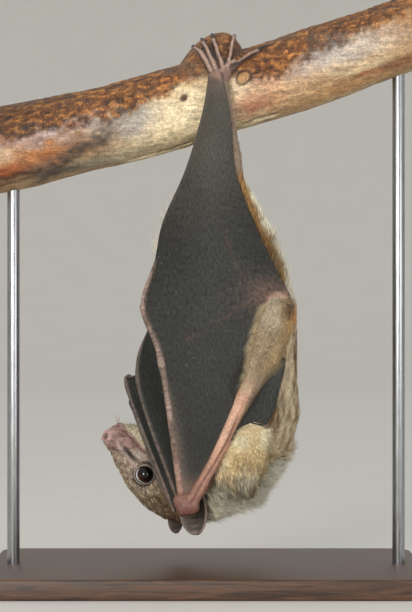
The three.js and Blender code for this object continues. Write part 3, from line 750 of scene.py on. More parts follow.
def branch_surface(xs, turn, flat):
    """Lift, colour and share of bark at each place on the branch."""
    ragged = noise(flat, (16, 7, 7), 3) * 0.5 + noise(flat, (5, 3, 3), 4) * 0.35
    ragged += noise(flat, (1.6, 1.2, 1.2), 5) * 0.3
    height = np.sin(turn)
    edge = np.interp(xs, *zip(*BARK_EDGE))
    ragged_more = ragged + 0.5 * noise(flat, (1.4, 1, 2.4), 22)
    bark = smoothstep(edge - 0.12, edge + 0.2, height + 0.3 * ragged_more)
    bark = np.maximum(bark, 0.85 * smoothstep(0.2, 0.75, height) * bell(xs - KNOB["x"], 11))
    fibre = noise(flat, (9, 1.2, 1.2), 5) + 0.5 * noise(flat, (5, 0.7, 0.7), 6)
    crumbs = noise(flat, (1.8, 1.0, 1.0), 8)
    lift = 0.4 * (bark - 0.5) + 0.3 * bark * crumbs + 0.14 * fibre * (1 - bark)
    lift += 0.35 * noise(flat, (12, 8, 8), 7)

    tint = plain("b3946c", len(xs))
    tint = washed(
        tint,
        ("cdb893", smoothstep(-0.1, 0.5, noise(flat, (22, 9, 9), 9))),
        ("8f6e4a", 0.55 * smoothstep(0.0, 0.5, noise(flat, (20, 1.6, 1.6), 10))))
    under = smoothstep(-0.62, -0.85, height + 0.15 * ragged)
    tint = washed(tint, ("9c7a52", 0.55 * under))
    for x, degrees, long, wide, code, strength in STAINS:
        away = np.hypot((xs - x + 2.5 * noise(flat, 6, 11)) / long,
                        (np.degrees(turn) - degrees) * 0.28 / wide + 0.35 * noise(flat, (4, 3, 3), 12))
        tint = mix(tint, linear(code), strength * bell(away, 0.8))
    unrolled_at = np.stack([xs, turn * PERCH["radius"], np.zeros(len(xs))], 1)
    wavy = unrolled_at + 0.7 * noise(flat, (5, 4, 4), 17)[:, None]
    for path, wide, code, strength in STREAKS:
        line = [(x, math.radians(degrees) * PERCH["radius"], 0) for x, degrees in path]
        gap = beside(wavy, line, 30)[0] / (1 + 0.5 * noise(flat, (4, 3, 3), 18))
        patchy = (0.75 + 0.5 * noise(flat, (2.2, 1.4, 1.4), 19)).clip(0, 1)
        tint = mix(tint, linear(code), strength * bell(gap, wide) * patchy)
    grain = 0.22 * noise(flat, (6, 1.5, 1.5), 20) + 0.2 * noise(flat, (1.6, 1.2, 1.2), 21)
    tint = tint * (1 + grain - 0.14 * smoothstep(55, 78, xs))[:, None]
    rough = mix(plain("7a4a25", len(xs)), linear("bd7d40"), smoothstep(-0.1, 0.5, crumbs))
    rough = washed(
        rough,
        ("40241a", 0.85 * smoothstep(0.0, 0.5, noise(flat, (2.6, 1.6, 1.6), 13))),
        ("6e5a48", 0.5 * smoothstep(0, 0.6, noise(flat, (14, 6, 6), 14))))
    rough = rough * (1 - 0.3 * smoothstep(-40, -62, xs) + 0.2 * noise(flat, (1.3, 1.1, 1.1), 22))[:, None]
    tint = mix(tint, rough, 0.92 * bark)

    for x, degrees, radius in KNOTS:
        away = np.hypot(xs - x, (turn - math.radians(degrees)) * PERCH["radius"])
        tint = washed(
            tint,
            ("c39a6a", 0.8 * (away < radius)),
            ("a5703f", 0.7 * bell(away - radius * 0.45, 0.4)),
            ("3a2016", 0.9 * (radius < 2) * bell(away, radius)))
        ring = bell(away - radius, 0.5)
        tint = washed(tint, ("32221a", 0.95 * ring))
        lift += 0.35 * bell(away, radius * 0.8) - 0.5 * ring
        bark = bark * (1 - bell(away, radius * 1.2))
    path = np.radians(14 - 1.1 * (xs - 17.5) + 0.16 * (xs - 17.5) ** 2)
    crack = bell((turn - path) * PERCH["radius"], 0.45)
    crack *= smoothstep(17, 18.5, xs) * smoothstep(27, 25, xs)
    tint = washed(tint, ("4a2f1e", 0.8 * crack))
    lift -= 0.5 * crack
    for low, high, degrees in TORN_STRIPS:
        there = smoothstep(low, low + 6, xs) * smoothstep(high, high - 5, xs)
        up = (turn - math.radians(degrees) + 0.06 * noise(flat, (5, 2, 2), 15)) * PERCH["radius"]
        flake = there * smoothstep(-3.6, -3.0, up) * smoothstep(0.2, -0.3, up)
        tint = washed(
            tint,
            ("d9c8a0", 0.85 * flake),
            ("3b2a1c", 0.85 * there * bell(up - 0.35, 0.45)))
        lift += flake * (0.55 + 0.3 * noise(flat, (4, 1, 1), 16)) - 0.5 * there * bell(up - 0.35, 0.4)
    return lift, tint, bark


# ---- wings ---------------------------------------------------------------------------------------
def at_height(path, z):
    line = curve(path, np.linspace(0, 1, 500))
    return np.stack([np.interp(z, line[:, 2], line[:, k]) for k in range(3)], axis=-1)


def flank_surface(u, v):
    z = FLANK["top"] + (FLANK["bottom"] - FLANK["top"]) * v
    front = at_height(DIGITS[5] + FREE_EDGE, z)
    rear = at_height(FOREARM[:0:-1] + [ELBOW] + LEG_EDGE, z)
    span = np.where(z < FLANK["fullest"], FLANK["fullest"] - FLANK["bottom"],
                    FLANK["top"] - FLANK["fullest"])
    away = np.minimum(1, np.abs(z - FLANK["fullest"]) / span)
    middle = FLANK["edge_y"] - FLANK["bulge"] * (1 - away * away)
    p = mix(front, rear, u)
    p[:, 1] += (middle - (front[:, 1] + rear[:, 1]) / 2) * 4 * u * (1 - u)
    p[:, 1] += 1.6 * smoothstep(9, 5.5, beside(p, FOREARM[:4])[0])  # sunk under the forearm's flesh
    return p


def web_surface(path_a, path_b, sag):
    def surface(u, v):
        p = mix(curve(path_a, v), curve(path_b, v), u)
        p[:, 1] += sag * 4 * u * (1 - u) * np.sin(np.pi * (0.12 + v * 0.8))
        return p
    return surface


def bone_profile(number, shares):
    """Radius of a digit along it: a swelling at each joint, slim shafts between."""
    bone, joints = BONE[number], len(DIGITS[number]) - 1
    radius = bone["root"] + (bone["tip"] - bone["root"]) * shares
    for k in range(1, joints):
        radius = radius + bone["knob"] * bell(shares * joints - k, 0.09)
    return radius


def wing_sheet(surface, across, along, paths):
    """Skin of a wing as a closed solid about a surface(u, v). Near the given bones it thickens."""
    u, v = (g.ravel() for g in np.meshgrid(np.linspace(0, 1, across), np.linspace(0, 1, along)))
    middle = surface(u, v)
    grid = middle.reshape(along, across, 3)
    normal = grid_normals(grid)
    bone = np.zeros(len(u))
    thick = np.full(len(u), 0.28)
    for number, shape, reach in paths:
        gap, share = beside(middle, shape)
        near = bell(gap, reach)
        radius = bone_profile(number, share) if number else 1.2
        thick = np.maximum(thick, near * radius * 0.8)
        bone = np.maximum(bone, near)
    width = np.linalg.norm(np.diff(grid, axis=1), axis=2).sum(1).mean()
    length = np.linalg.norm(np.diff(grid, axis=0), axis=2).sum(0).mean()
    flat = np.stack([u * width, v * length, np.zeros(len(u))], 1)
    ripple = 0.13 * noise(flat, (2.4, 14, 1), 11) + 0.24 * noise(flat, (7, 30, 1), 12)
    ripple *= (1 - bone) * 4 * np.minimum(u * (1 - u), 0.25)
    centre = middle + normal * ripple[:, None]
    top = (centre + normal * thick[:, None]).reshape(along, across, 3)
    bottom = (centre - normal * thick[:, None]).reshape(along, across, 3)
    shell = sheet(grid, top, bottom, 0.25 * thick.reshape(along, across))
    bone, over, down = (round_sheet(value.reshape(along, across))
                        for value in (bone, u * width, v * length))
    return shell, bone, np.stack([over, down], 1)


def add_wing(side, sign, finish):
    outer = web_surface(DIGITS[5][:3], DIGITS[4][:3], 1.6)
    web = web_surface([DIGITS[4][0], HAND_WEB_END], DIGITS[3][:2], 1.0)
    arm_web = web_surface(FOREARM[1:5] + [FORE_WEB_END], UPPER_ARM[::-1], 1.5)

    def inner(u, v):
        return web(u, v) + (4 * u * (1 - u) * smoothstep(0.92, 1, v))[:, None] * np.array(HAND_WEB_BULGE)

    def fore(u, v):
        return arm_web(u, v) + (4 * u * (1 - u) * smoothstep(0.5, 0.85, v))[:, None] * np.array((0, 3.4, 0))

    fine = 1
    shells, bones, grains = [], [], []
    for surface, across, along, paths in (
            (flank_surface, 70, 196, [(5, DIGITS[5], 1.35), (0, FOREARM, 2.2)]),
            (outer, 22, 96, [(5, DIGITS[5], 1.3), (4, DIGITS[4], 0.9)]),
            (inner, 16, 80, [(4, DIGITS[4], 0.9), (3, DIGITS[3], 0.8)]),
            (fore, 28, 74, [(0, FOREARM, 2.0)])):
        shell, bone, grain = wing_sheet(surface, int(across * fine), int(along * fine), paths)
        shells.append(shell)
        bones.append(bone)
        grains.append(grain)
    for number, joints in DIGITS.items():
        shares = np.linspace(0, 1, 150)
        centres = curve(joints, shares)
        wobble = 0.05 * noise(centres, 3, number)
        shell = tube(centres, bone_profile(number, shares) + wobble, 16)
        shells.append(shell)
        bones.append(np.ones(len(shell[0])))
        reach = np.linalg.norm(shell[0] - joints[0], axis=1)
        grains.append(np.stack([shell[0][:, 1], reach], 1))
    verts, faces, owner = joined(shells)
    bone, grain = np.concatenate(bones), np.vstack(grains)
    tint = wing_tint(verts, bone, owner)
    verts = mirrored(verts, sign)
    faces = facing_out(verts, faces)
    piece = new_piece(f"wing_{side}", verts, faces, finish, tint, {"bone": bone}, {"grain": grain})
    placed(piece, "wing", *(f"{name}_{side}" for name in (
        "flank_skin", "fore_skin", "hand_skin_outer", "hand_skin_inner",
        "digit_2", "digit_3", "digit_4", "digit_5")))
    return {"verts": verts, "faces": faces, "owner": owner, "tint": tint, "sign": sign,
            "tree": BVHTree.FromPolygons([Vector(p) for p in verts], faces.tolist())}


# A vein that shows faintly through the flank, seen square to it.
VEINS = [[(-8, 0, 97.5), (4, 0, 104), (15.2, 0, 111.2), (27, 0, 113.5)],
         [(28, 0, 114), (19, 0, 118), (12, 0, 126), (7, 0, 141)]]


def past_arm_fur(points):
    """How far points on a wing lie past the edge of the forearm's fur."""
    gap, share = beside(points, FOREARM[:6])
    gap = gap - 7.6 + 4.6 * smoothstep(0.38, 0.62, share)
    return gap + 4 * smoothstep(110.5, 114, points[:, 2]) + 4 * smoothstep(80, 72, points[:, 2])


def wing_tint(verts, bone, owner):
    """Dark grey skin, browner towards the foot and the hand, pinkish tan over the bones."""
    z = verts[:, 2]
    seen = verts * (1, 0, 1)
    flank = owner == 0
    tint = plain("31312e", len(verts))
    tint = washed(
        tint,
        ("4d4a43", 0.8 * smoothstep(130, 185, z)),
        ("6b5a52", 0.8 * smoothstep(190, 202, z)),
        ("947869", 0.85 * smoothstep(198.5, 200.5, z + 0.4 * verts[:, 0] - 2)))
    hand = (owner == 1) | (owner == 2)
    tint = washed(
        tint,
        ("1d1f1b", 0.8 * hand),
        ("3f403e", 0.8 * (owner == 3)))
    for vein in VEINS:
        blotched = 0.5 + 0.5 * noise(seen, 3.5, 14)
        share = 0.3 * bell(beside(seen, vein)[0], 0.8) * np.clip(blotched, 0, 1) * flank
        tint = washed(tint, ("6b4a42", share))
    # fleshy towards the wrist and along the fifth digit, soft over the elbow, furred by the forearm
    tint = washed(tint, ("7d6054", 0.75 * smoothstep(47, 36, z) * flank))
    along_digit = beside(verts, DIGITS[5][:2])[0]
    tint = washed(tint, ("7b6c62", 0.6 * bell(along_digit, 3.6) * flank * smoothstep(84, 60, z)))
    elbow = np.linalg.norm((seen - (26, 0, 115)) / (1.5, 1, 1), axis=1)
    tint = washed(tint, ("6a564c", 0.8 * bell(elbow, 6.5) * flank))
    furred = smoothstep(2.4, -1.4, past_arm_fur(verts) + 0.5 * noise(verts, 2.2, 16))
    tint = washed(tint, ("b5a281", 0.95 * furred * ((owner == 0) | (owner == 3))))
    ridge = bell(beside(seen, [(24.5, 0, 114.0), (31, 0, 115.4)])[0], 1.1)
    tint = washed(tint, ("96766a", 0.75 * ridge * flank))
    rim = smoothstep(2.4, 0.4, beside(verts, FREE_EDGE)[0]) * flank
    tint = washed(tint, ("57504a", 0.5 * rim))
    pale = mix(plain("8f7a70", len(verts)), linear("6b5a50"),
               smoothstep(-0.3, 0.6, noise(verts, (4, 4, 9), 13)))
    pale = washed(
        pale,
        ("b39f96", 0.6 * bell(away_from(verts, DIGITS[5][1]), 2.2)),
        ("94705f", 0.7 * smoothstep(60, 38, z)))
    near_digits = (owner >= 4) & (owner <= 6) | (owner == 1) | (owner == 2)
    pale = washed(pale, ("4a453f", 0.8 * near_digits))
    return mix(tint, pale, np.clip(bone, 0, 1) ** 1.6)


# ---- skin ----------------------------------------------------------------------------------------
PAIRED = {"shoulder": "shoulder", "upper_arm": "upper_arm", "forearm": "forearm", "wrist": "hand",
          "thumb": "hand", "thigh": "thigh", "shank": "shank", "foot": "foot"}
REGION_OF = {"head": "head", "lower_jaw": "head", "neck": "neck", "trunk": "trunk", "tail": "tail"}
REGION_OF.update({f"{node}_{side}": region for node, region in PAIRED.items() for side, _ in SIDES})
REGIONS = ["head", "neck", "trunk", "tail", "shoulder", "upper_arm", "forearm", "hand", "thigh",
           "shank", "foot"]
SEAM_FILL = 0.24  # the solids are grown by this, so that the gaps between them close
VOXEL = 0.9

# By region: how deep the coat is, how long its hairs are, and how far they stand up, in degrees.
COAT = {
    "head": (0.8, 2.3, 19), "neck": (2.0, 7.0, 30), "trunk": (1.9, 6.0, 20), "tail": (0.3, 1.5, 15),
    "shoulder": (0.2, 4.0, 9), "upper_arm": (1.2, 5.6, 9), "forearm": (0.7, 3.6, 7),
    "hand": (0.0, 0.8, 15), "thigh": (1.4, 4.6, 16), "shank": (0.5, 2.2, 12), "foot": (0.1, 0.9, 20),
}


def edges_of(faces):
    pairs = np.vstack([faces[:, [0, 1]], faces[:, [1, 2]], faces[:, [2, 0]]])
    return np.unique(np.sort(pairs, axis=1), axis=0)


def evened(values, edges, rounds, weight=None, push=0.5, pull=0.0):
    """Values spread along the mesh's edges. With a pull it keeps the volume of a shape."""
    a, b = edges.T
    count = len(values)
    ways = np.maximum(np.bincount(edges.ravel(), minlength=count), 1)[:, None]
    values = values.astype(float)
    weight = 1 if weight is None else weight[:, None]
    for _ in range(rounds):
        for factor in (push, pull) if pull else (push,):
            total = np.stack([np.bincount(a, values[b, k], count) + np.bincount(b, values[a, k], count)
                              for k in range(values.shape[1])], axis=1)
            values = values + factor * weight * (total / ways - values)
    return values


def normals_of(verts, faces):
    a, b, c = (verts[faces[:, k]] for k in range(3))
    face = np.cross(b - a, c - a)
    total = np.stack([sum(np.bincount(faces[:, k], face[:, axis], len(verts)) for k in range(3))
                      for axis in range(3)], axis=1)
    return unit(total)


def flesh_mesh(names):
    """One bmesh of the named solids, each with its doubles merged."""
    bm = bmesh.new()
    for name in names:
        bm.from_mesh(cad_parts[name].data)
    bmesh.ops.remove_doubles(bm, verts=bm.verts, dist=1e-6)
    bm.normal_update()
    return bm


def one_shell(names):
    """The named solids grown until they join, as one evenly meshed shell."""
    bm = flesh_mesh(names)
    for vert in bm.verts:
        vert.co += vert.normal * SEAM_FILL * MM
    mesh = bpy.data.meshes.new("flesh")
    bm.to_mesh(mesh)
    bm.free()
    shell = bpy.data.objects.new("flesh", mesh)
    bpy.context.scene.collection.objects.link(shell)
    deselect_all()
    shell.select_set(True)
    bpy.context.view_layer.objects.active = shell
    remesh = shell.modifiers.new("remesh", "REMESH")
    remesh.mode = "VOXEL"
    remesh.voxel_size = VOXEL * MM
    bpy.ops.object.modifier_apply(modifier=remesh.name)
    bm = bmesh.new()
    bm.from_mesh(shell.data)
    bpy.data.objects.remove(shell)
    return bm


def finer(bm, inside):
    """Cuts in two every edge that lies where inside(points) says."""
    points = np.array([v.co for v in bm.verts]) / MM
    wanted = inside(points)
    edges = [e for e in bm.edges if wanted[e.verts[0].index] and wanted[e.verts[1].index]]
    bmesh.ops.subdivide_edges(bm, edges=edges, cuts=1, use_grid_fill=True)
    bm.verts.index_update()


def head_part(points):
    """True on the head, in front of the ears."""
    own = straight_head(points)
    return (own[:, 0] < 4) & (own[:, 2] < 70) & (np.abs(own[:, 1]) < 14.5) & (own[:, 2] > 20)


def arm_part(points):
    """True on the bare half of each forearm and on the wrist."""
    folded = folded_to(points, -1)
    return (beside(folded, FOREARM[2:])[0] < 6.5) & (points[:, 2] < 90)


def beside_toes(points):
    """How far sideways each point lies from the nearest toe's line, and where it is on a foot's toes."""
    angle = np.degrees(np.arctan2(points[:, 2] - perch_centre(points[:, 0]), np.abs(points[:, 1])))
    nearest = np.full(len(points), 9.0)
    for (x0, low), (x1, high) in TOES:
        share = (angle - low) / (high - low)
        away = np.abs(points[:, 0] - x0 - (x1 - x0) * np.clip(share, -0.5, 1.1))
        nearest = np.minimum(nearest, away / math.hypot(1, (x1 - x0) / (math.radians(high - low) * 20)))
    on_toes = smoothstep(16, 30, angle) * (np.abs(points[:, 1]) > 2) * (points[:, 2] > 195)
    return nearest, on_toes


def toe_part(points):
    nearest, on_toes = beside_toes(points)
    return (nearest < 1.8) & (on_toes > 0.3)


def face_part(points):
    own = straight_head(points)
    eye = np.hypot(np.hypot(own[:, 0] - EYE["x"], np.abs(own[:, 1]) - EYE["y"]), own[:, 2] - EYE["z"])
    return head_part(points) & ((own[:, 0] < -29.5) | (eye < 7.2))


def region_shares(points, edges):
    """How much of each region there is at each point, blended where regions meet."""
    corners, faces, region = [], [], []
    for name, part in REGION_OF.items():
        bm = flesh_mesh([name])
        start = len(corners)
        corners += [v.co / MM for v in bm.verts]
        bm.verts.index_update()
        faces += [[v.index + start for v in f.verts] for f in bm.faces]
        region += [REGIONS.index(part)] * len(bm.faces)
        bm.free()
    tree = BVHTree.FromPolygons(corners, faces)
    nearest = np.array([region[tree.find_nearest(Vector(p))[2]] for p in points])
    shares = np.zeros((len(points), len(REGIONS)))
    shares[np.arange(len(points)), nearest] = 1
    return evened(shares, edges, 12)


def groove(own, path, depth, width):
    """How far a groove along a path in the head's own frame lowers each point."""
    gap, share = beside(own, path, 24)
    return -depth * bell(gap, width) * smoothstep(0, 0.12, share) * smoothstep(1, 0.85, share)


# The groove between the two strands of the forearm, seen square to the flank.
ARM_GROOVE = [
    (28.6, 0, 103), (26.9, 0, 97.6), (23.2, 0, 91.2), (19.4, 0, 84.4), (15.6, 0, 76), (11.9, 0, 66.4),
    (8.7, 0, 58.6), (3.2, 0, 48.9), (-2.6, 0, 40), (-5.4, 0, 34.4),
]
ARM_GROOVE_X = tuple(zip(*sorted((p[2], p[0]) for p in ARM_GROOVE)))


def strands(points, normals):
    """How far the groove between the strands of the forearm lowers each point."""
    gap, share = beside(points * (1, 0, 1), ARM_GROOVE, 80)
    outside = smoothstep(0.15, 0.6, normals[:, 1] * np.sign(points[:, 1]))
    depth = (1.3 - 0.65 * smoothstep(0.3, 0.5, share)) * (1 - 0.7 * bell(points[:, 2] - 74, 6))
    width = 1.7 - 1.1 * smoothstep(0.3, 0.5, share)
    return -depth * bell(gap, width) * outside * smoothstep(0, 0.25, share)


MOUTH = [(-36.4, 1.0, 63.6), (-34.3, 3.4, 61.8), (-32.4, 4.1, 59.4), (-30.5, 4.6, 57.4),
         (-28.4, 5.1, 54.9), (-26.4, 6.2, 52.8)]
LIP_FOLD = [(-36.0, 5.2, 56.6), (-34.8, 5.6, 55.1), (-32.9, 6.2, 52.7), (-31.4, 6.6, 51.1),
            (-29.4, 6.9, 49.9), (-27.1, 7.5, 49.1), (-24.7, 7.8, 48.7), (-23.0, 8.8, 46.8)]
NOSE_RIDGE = [(-37.0, 5.4, 56.0), (-35.7, 5.8, 53.9), (-33.8, 6.4, 51.5), (-31.9, 7.1, 48.8),
              (-31.2, 7.8, 46.4)]
NOSTRIL = (-40.9, 2.2, 59.1)


def sculpted(points, faces):
    """The head's folds: mouth, lips, nostrils, the fold from nose to cheek, and the eye sockets."""
    own = straight_head(points)
    near = head_part(points)
    half = folded_to(own, 1)
    normal = straight_head(normals_of(points, faces)) - straight_head(np.zeros((1, 3)))
    lift = groove(half, MOUTH, 0.9, 0.5) + groove(half, LIP_FOLD, 1.25, 0.75)
    lift += -groove(half, NOSE_RIDGE, 0.6, 1.0)
    lift -= groove(half, [(p[0] - 0.9, p[1] + 0.2, p[2] - 1.3) for p in MOUTH], 0.35, 0.9)
    lift -= groove(half, [(p[0] + 1.2, p[1] + 0.2, p[2] + 1.3) for p in MOUTH[1:]], 0.3, 0.9)
    hole = away_from(half, NOSTRIL)
    lift += 0.55 * bell(hole - 1.6, 0.5) + 0.3 * bell(hole, 2.6) - 1.9 * bell(hole, 0.9)
    lift -= 0.5 * bell(np.hypot(half[:, 1] * 1.6, half[:, 2] - 59), 1.3) * (half[:, 0] < -39)
    muzzle = smoothstep(-28, -34, own[:, 0])
    lift += muzzle * (0.34 * noise(own, (2.2, 1.4, 1.0), 21) + 0.2 * noise(own, 0.8, 22))
    lift += (1 - muzzle) * 0.12 * noise(own, (5, 3, 1.3), 23)
    own = own + normal * (lift * near)[:, None]
    for sign in (-1, 1):
        own = eye_socket(own, sign, near)
    return np.where(near[:, None], turned_head(own), points)


def eye_axis(sign):
    return unit(np.array([-0.22, sign * 0.96, 0.08]))


def eye_centre(sign):
    return np.array([EYE["x"], sign * EYE["y"], EYE["z"]])


def about_eye(own, sign):
    """Each point's way and distance from the eyeball's centre, and its angle from the eye's axis."""
    away = own - eye_centre(sign)
    reach = np.linalg.norm(away, axis=1)
    way = away / reach[:, None]
    return way, reach, np.degrees(np.arccos(np.clip(way @ eye_axis(sign), -1, 1)))


def eye_socket(own, sign, near):
    """Lays the skin over the eyeball as lids, and draws it in behind the opening."""
    way, reach, angle = about_eye(own, sign)
    lid = EYE["radius"] + 0.38 - 0.6 * smoothstep(66, 60, angle)
    over = near & (reach < 8.5) & (own[:, 1] * sign > 2)
    hold = np.where(over, smoothstep(8.2, 5.6, reach) * smoothstep(105, 82, angle), 0)
    wanted = lid + 0.35 * np.maximum(reach - lid, 0) * smoothstep(70, 88, angle)
    return own + way * ((wanted - reach) * hold)[:, None]


def lid_share(own):
    """1 on the lids and beside them, 0 further out."""
    _, reach, angle = about_eye(folded_to(own, 1), 1)
    return smoothstep(82, 66, angle) * (reach < 7.5)


# The lids' section, from under the margin outwards and back: degrees past the opening's edge, height
# over the eyeball and colour.
LIDS = [(1.5, -0.5, "1d1716"), (0.2, -0.1, "1d1716"), (0, 0.12, "241c1a"), (0.9, 0.3, "3a2f2b"),
        (2.3, 0.38, "6f645c"), (4, 0.42, "a0958c"), (6.2, 0.42, "9a8e84"), (8.4, 0.4, "8a7d70"),
        (11, 0.42, "93866f"), (14, 0.41, "94866f"), (17, 0.34, "94866f"), (20, 0.15, "8f8074"),
        (23, -0.4, "8f8074"), (13, -0.7, "1d1716")]
OPENING = 50.5  # degrees from the eye's axis to the lids' margin


def eyelids(sign):
    """The lids round the eye's opening as one closed band, with its colours."""
    axis = eye_axis(sign)
    side = unit(np.cross(axis, (0, 0, 1)))
    up = np.cross(side, axis)
    turn = np.linspace(0, 2 * np.pi, 121)[:-1][:, None]
    past, height = (np.array(column) for column in list(zip(*LIDS))[:2])
    spread = np.radians(OPENING * (1 + 0.06 * np.cos(2 * turn)) + past)
    fold = 0.05 * np.sin(turn * 9 + 3 * np.sin(turn * 2)) * smoothstep(2, 5, past)
    reach = EYE["radius"] + height + fold * (height > 0)
    flat = np.sin(spread)[..., None] * (np.cos(turn)[..., None] * side + np.sin(turn)[..., None] * up)
    rings = eye_centre(sign) + reach[..., None] * (np.cos(spread)[..., None] * axis + flat)
    tint = np.tile(np.array([linear(code) for *_, code in LIDS]), (len(turn), 1))
    verts = rings.reshape(-1, 3)
    tint = tint * (1 + 0.22 * noise(verts, 0.7, 53) + 0.12 * noise(verts, 1.6, 54))[:, None]
    i, j = (g.ravel() for g in np.meshgrid(np.arange(len(turn)), np.arange(len(LIDS)), indexing="ij"))
    n, k = (i + 1) % len(turn), (j + 1) % len(LIDS)
    a, b, c, d = (p * len(LIDS) + q for p, q in ((i, j), (n, j), (n, k), (i, k)))
    faces = np.vstack([np.stack([a, b, c], 1), np.stack([a, c, d], 1)])
    return verts, faces, tint


def ear_shell(side, sign):
    """A cupped leaf, thinner towards its rim, as (verts, faces) in the bat's frame."""
    across, along = 44, 56
    v, s = (g.ravel() for g in np.meshgrid(np.linspace(-0.02, 1, along), np.linspace(-1, 1, across),
                                           indexing="ij"))
    root, tip = mirrored(EAR_ROOT, -sign), mirrored(EAR_TIP[side], -sign)
    facing = np.array([-math.sin(EAR["facing"]), -sign * math.cos(EAR["facing"]), 0])
    sideways = np.array([math.cos(EAR["facing"]), -sign * math.sin(EAR["facing"]), 0])
    reach = (v - EAR["widest"]) / np.where(v < EAR["widest"], EAR["root_reach"], EAR["tip_reach"])
    wide = EAR["width"] * np.sqrt(np.maximum(EAR["narrowest"], 1 - reach * reach))
    cup = EAR["cup"][0] + (EAR["cup"][1] - EAR["cup"][0]) * v
    out = s * s * (wide / EAR["width"]) * cup - EAR["bow"] * np.sin(np.pi * v)
    middle = (root + (tip - root) * v[:, None] + sideways * (s * wide + EAR["lean"] * v)[:, None]
              + facing * out[:, None])
    grid = middle.reshape(along, across, 3)
    normal = grid_normals(grid)
    folds = 0.12 * np.sin(v * 46 + 2 * s) * (1 - s * s) * smoothstep(0.1, 0.4, v)
    half = EAR["thick"] / 2 * (1 - 0.35 * s * s) + 0.12 * smoothstep(0.86, 1, np.abs(s))
    top = (middle + normal * (half + folds)[:, None]).reshape(along, across, 3)
    bottom = (middle - normal * (half - folds)[:, None]).reshape(along, across, 3)
    verts, faces = sheet(grid, top, bottom, np.full((along, across), 0.3))
    verts = turned_head(verts)
    # Painted highlight: the ear is painted paler along its rim and at its tip, where light catches it.
    edge = smoothstep(0.72, 1, np.abs(s)).reshape(along, across)
    edge = np.maximum(edge, smoothstep(0.86, 1, v).reshape(along, across))
    shade = round_sheet(edge)
    shade[-2:] = 1
    # Painted shade: the inside of the cup is painted darker.
    inner = smoothstep(0.3, 0.9, (verts - turned_head(np.array([root]))) @ facing)
    tint = mix(plain("6a5d55", len(verts)), linear("857469"), 0.7 * shade)
    tint = washed(tint, ("4d423c", 0.6 * inner * (1 - shade)))
    return verts, facing_out(verts, faces), tint


SOFTNESS = (1, 1, 1, 0.6, 0.7, 0.9, 0.7, 0.35, 1, 0.5, 0.25)  # how much each region is evened
PUPIL_EDGE, IRIS_EDGE, WHITE_EDGE = (30, 35), (45, 49), (51.5, 53.5)  # degrees from the gaze
PALETTE = {  # the coat's and skin's main colour in each region
    "neck": "dad3bf", "trunk": "a08a66", "tail": "8e7a6c", "shoulder": "ecd8ae",
    "upper_arm": "a08f73", "forearm": "ae9a7c", "hand": "8c6a5e", "thigh": "a08c6e",
    "shank": "97836f", "foot": "8a7068", "head": "a08a76",
}


def by_region(shares):
    """The columns of the region shares under their names."""
    return {name: shares[:, k] for k, name in enumerate(REGIONS)}


def mark_trunk(tint, points, part, grain):
    """Neck and back: grey-buff, painted shade under the shoulder lobe, golden along the flank."""
    x, y, z = points.T
    folded = folded_to(points, -1)
    broad, middling, small = grain
    tint = washed(
        tint,
        ("e6dbb4", 0.75 * part["neck"] * smoothstep(6, -6, x + 5 * middling)),
        ("7d7a6c", 0.4 * part["neck"] * smoothstep(0.0, 0.6, middling + 0.6 * small)))
    # Painted shade where the neck fur meets the lower edge of the shoulder lobe.
    shade_under_lobe = np.linalg.norm((folded - (15.5, -19, 42.5)) / (3.6, 9, 1.5), axis=1)
    tint = washed(tint, ("2f2a24", 0.85 * bell(shade_under_lobe, 1) * (part["neck"] + part["shoulder"])))
    past_edge = x - np.interp(z, *LEG_EDGE_X)
    hind = (part["trunk"] + part["thigh"]) * smoothstep(96, 110, z)
    return washed(
        tint,
        ("9c7440", 0.8 * hind * smoothstep(3.4, 1.8, past_edge + 0.8 * small)),
        ("dcd4be", 0.9 * hind * smoothstep(2.2, 3.4, past_edge + 0.8 * small)),
        ("b7ae93", 0.7 * part["trunk"] * smoothstep(9, 4, np.abs(y)) * smoothstep(110, 96, z)),
        ("ddd5c0", 0.9 * part["trunk"] * smoothstep(-5, -10, x)),
        ("8d7c5f", 0.5 * part["trunk"] * smoothstep(0, 0.7, broad)))


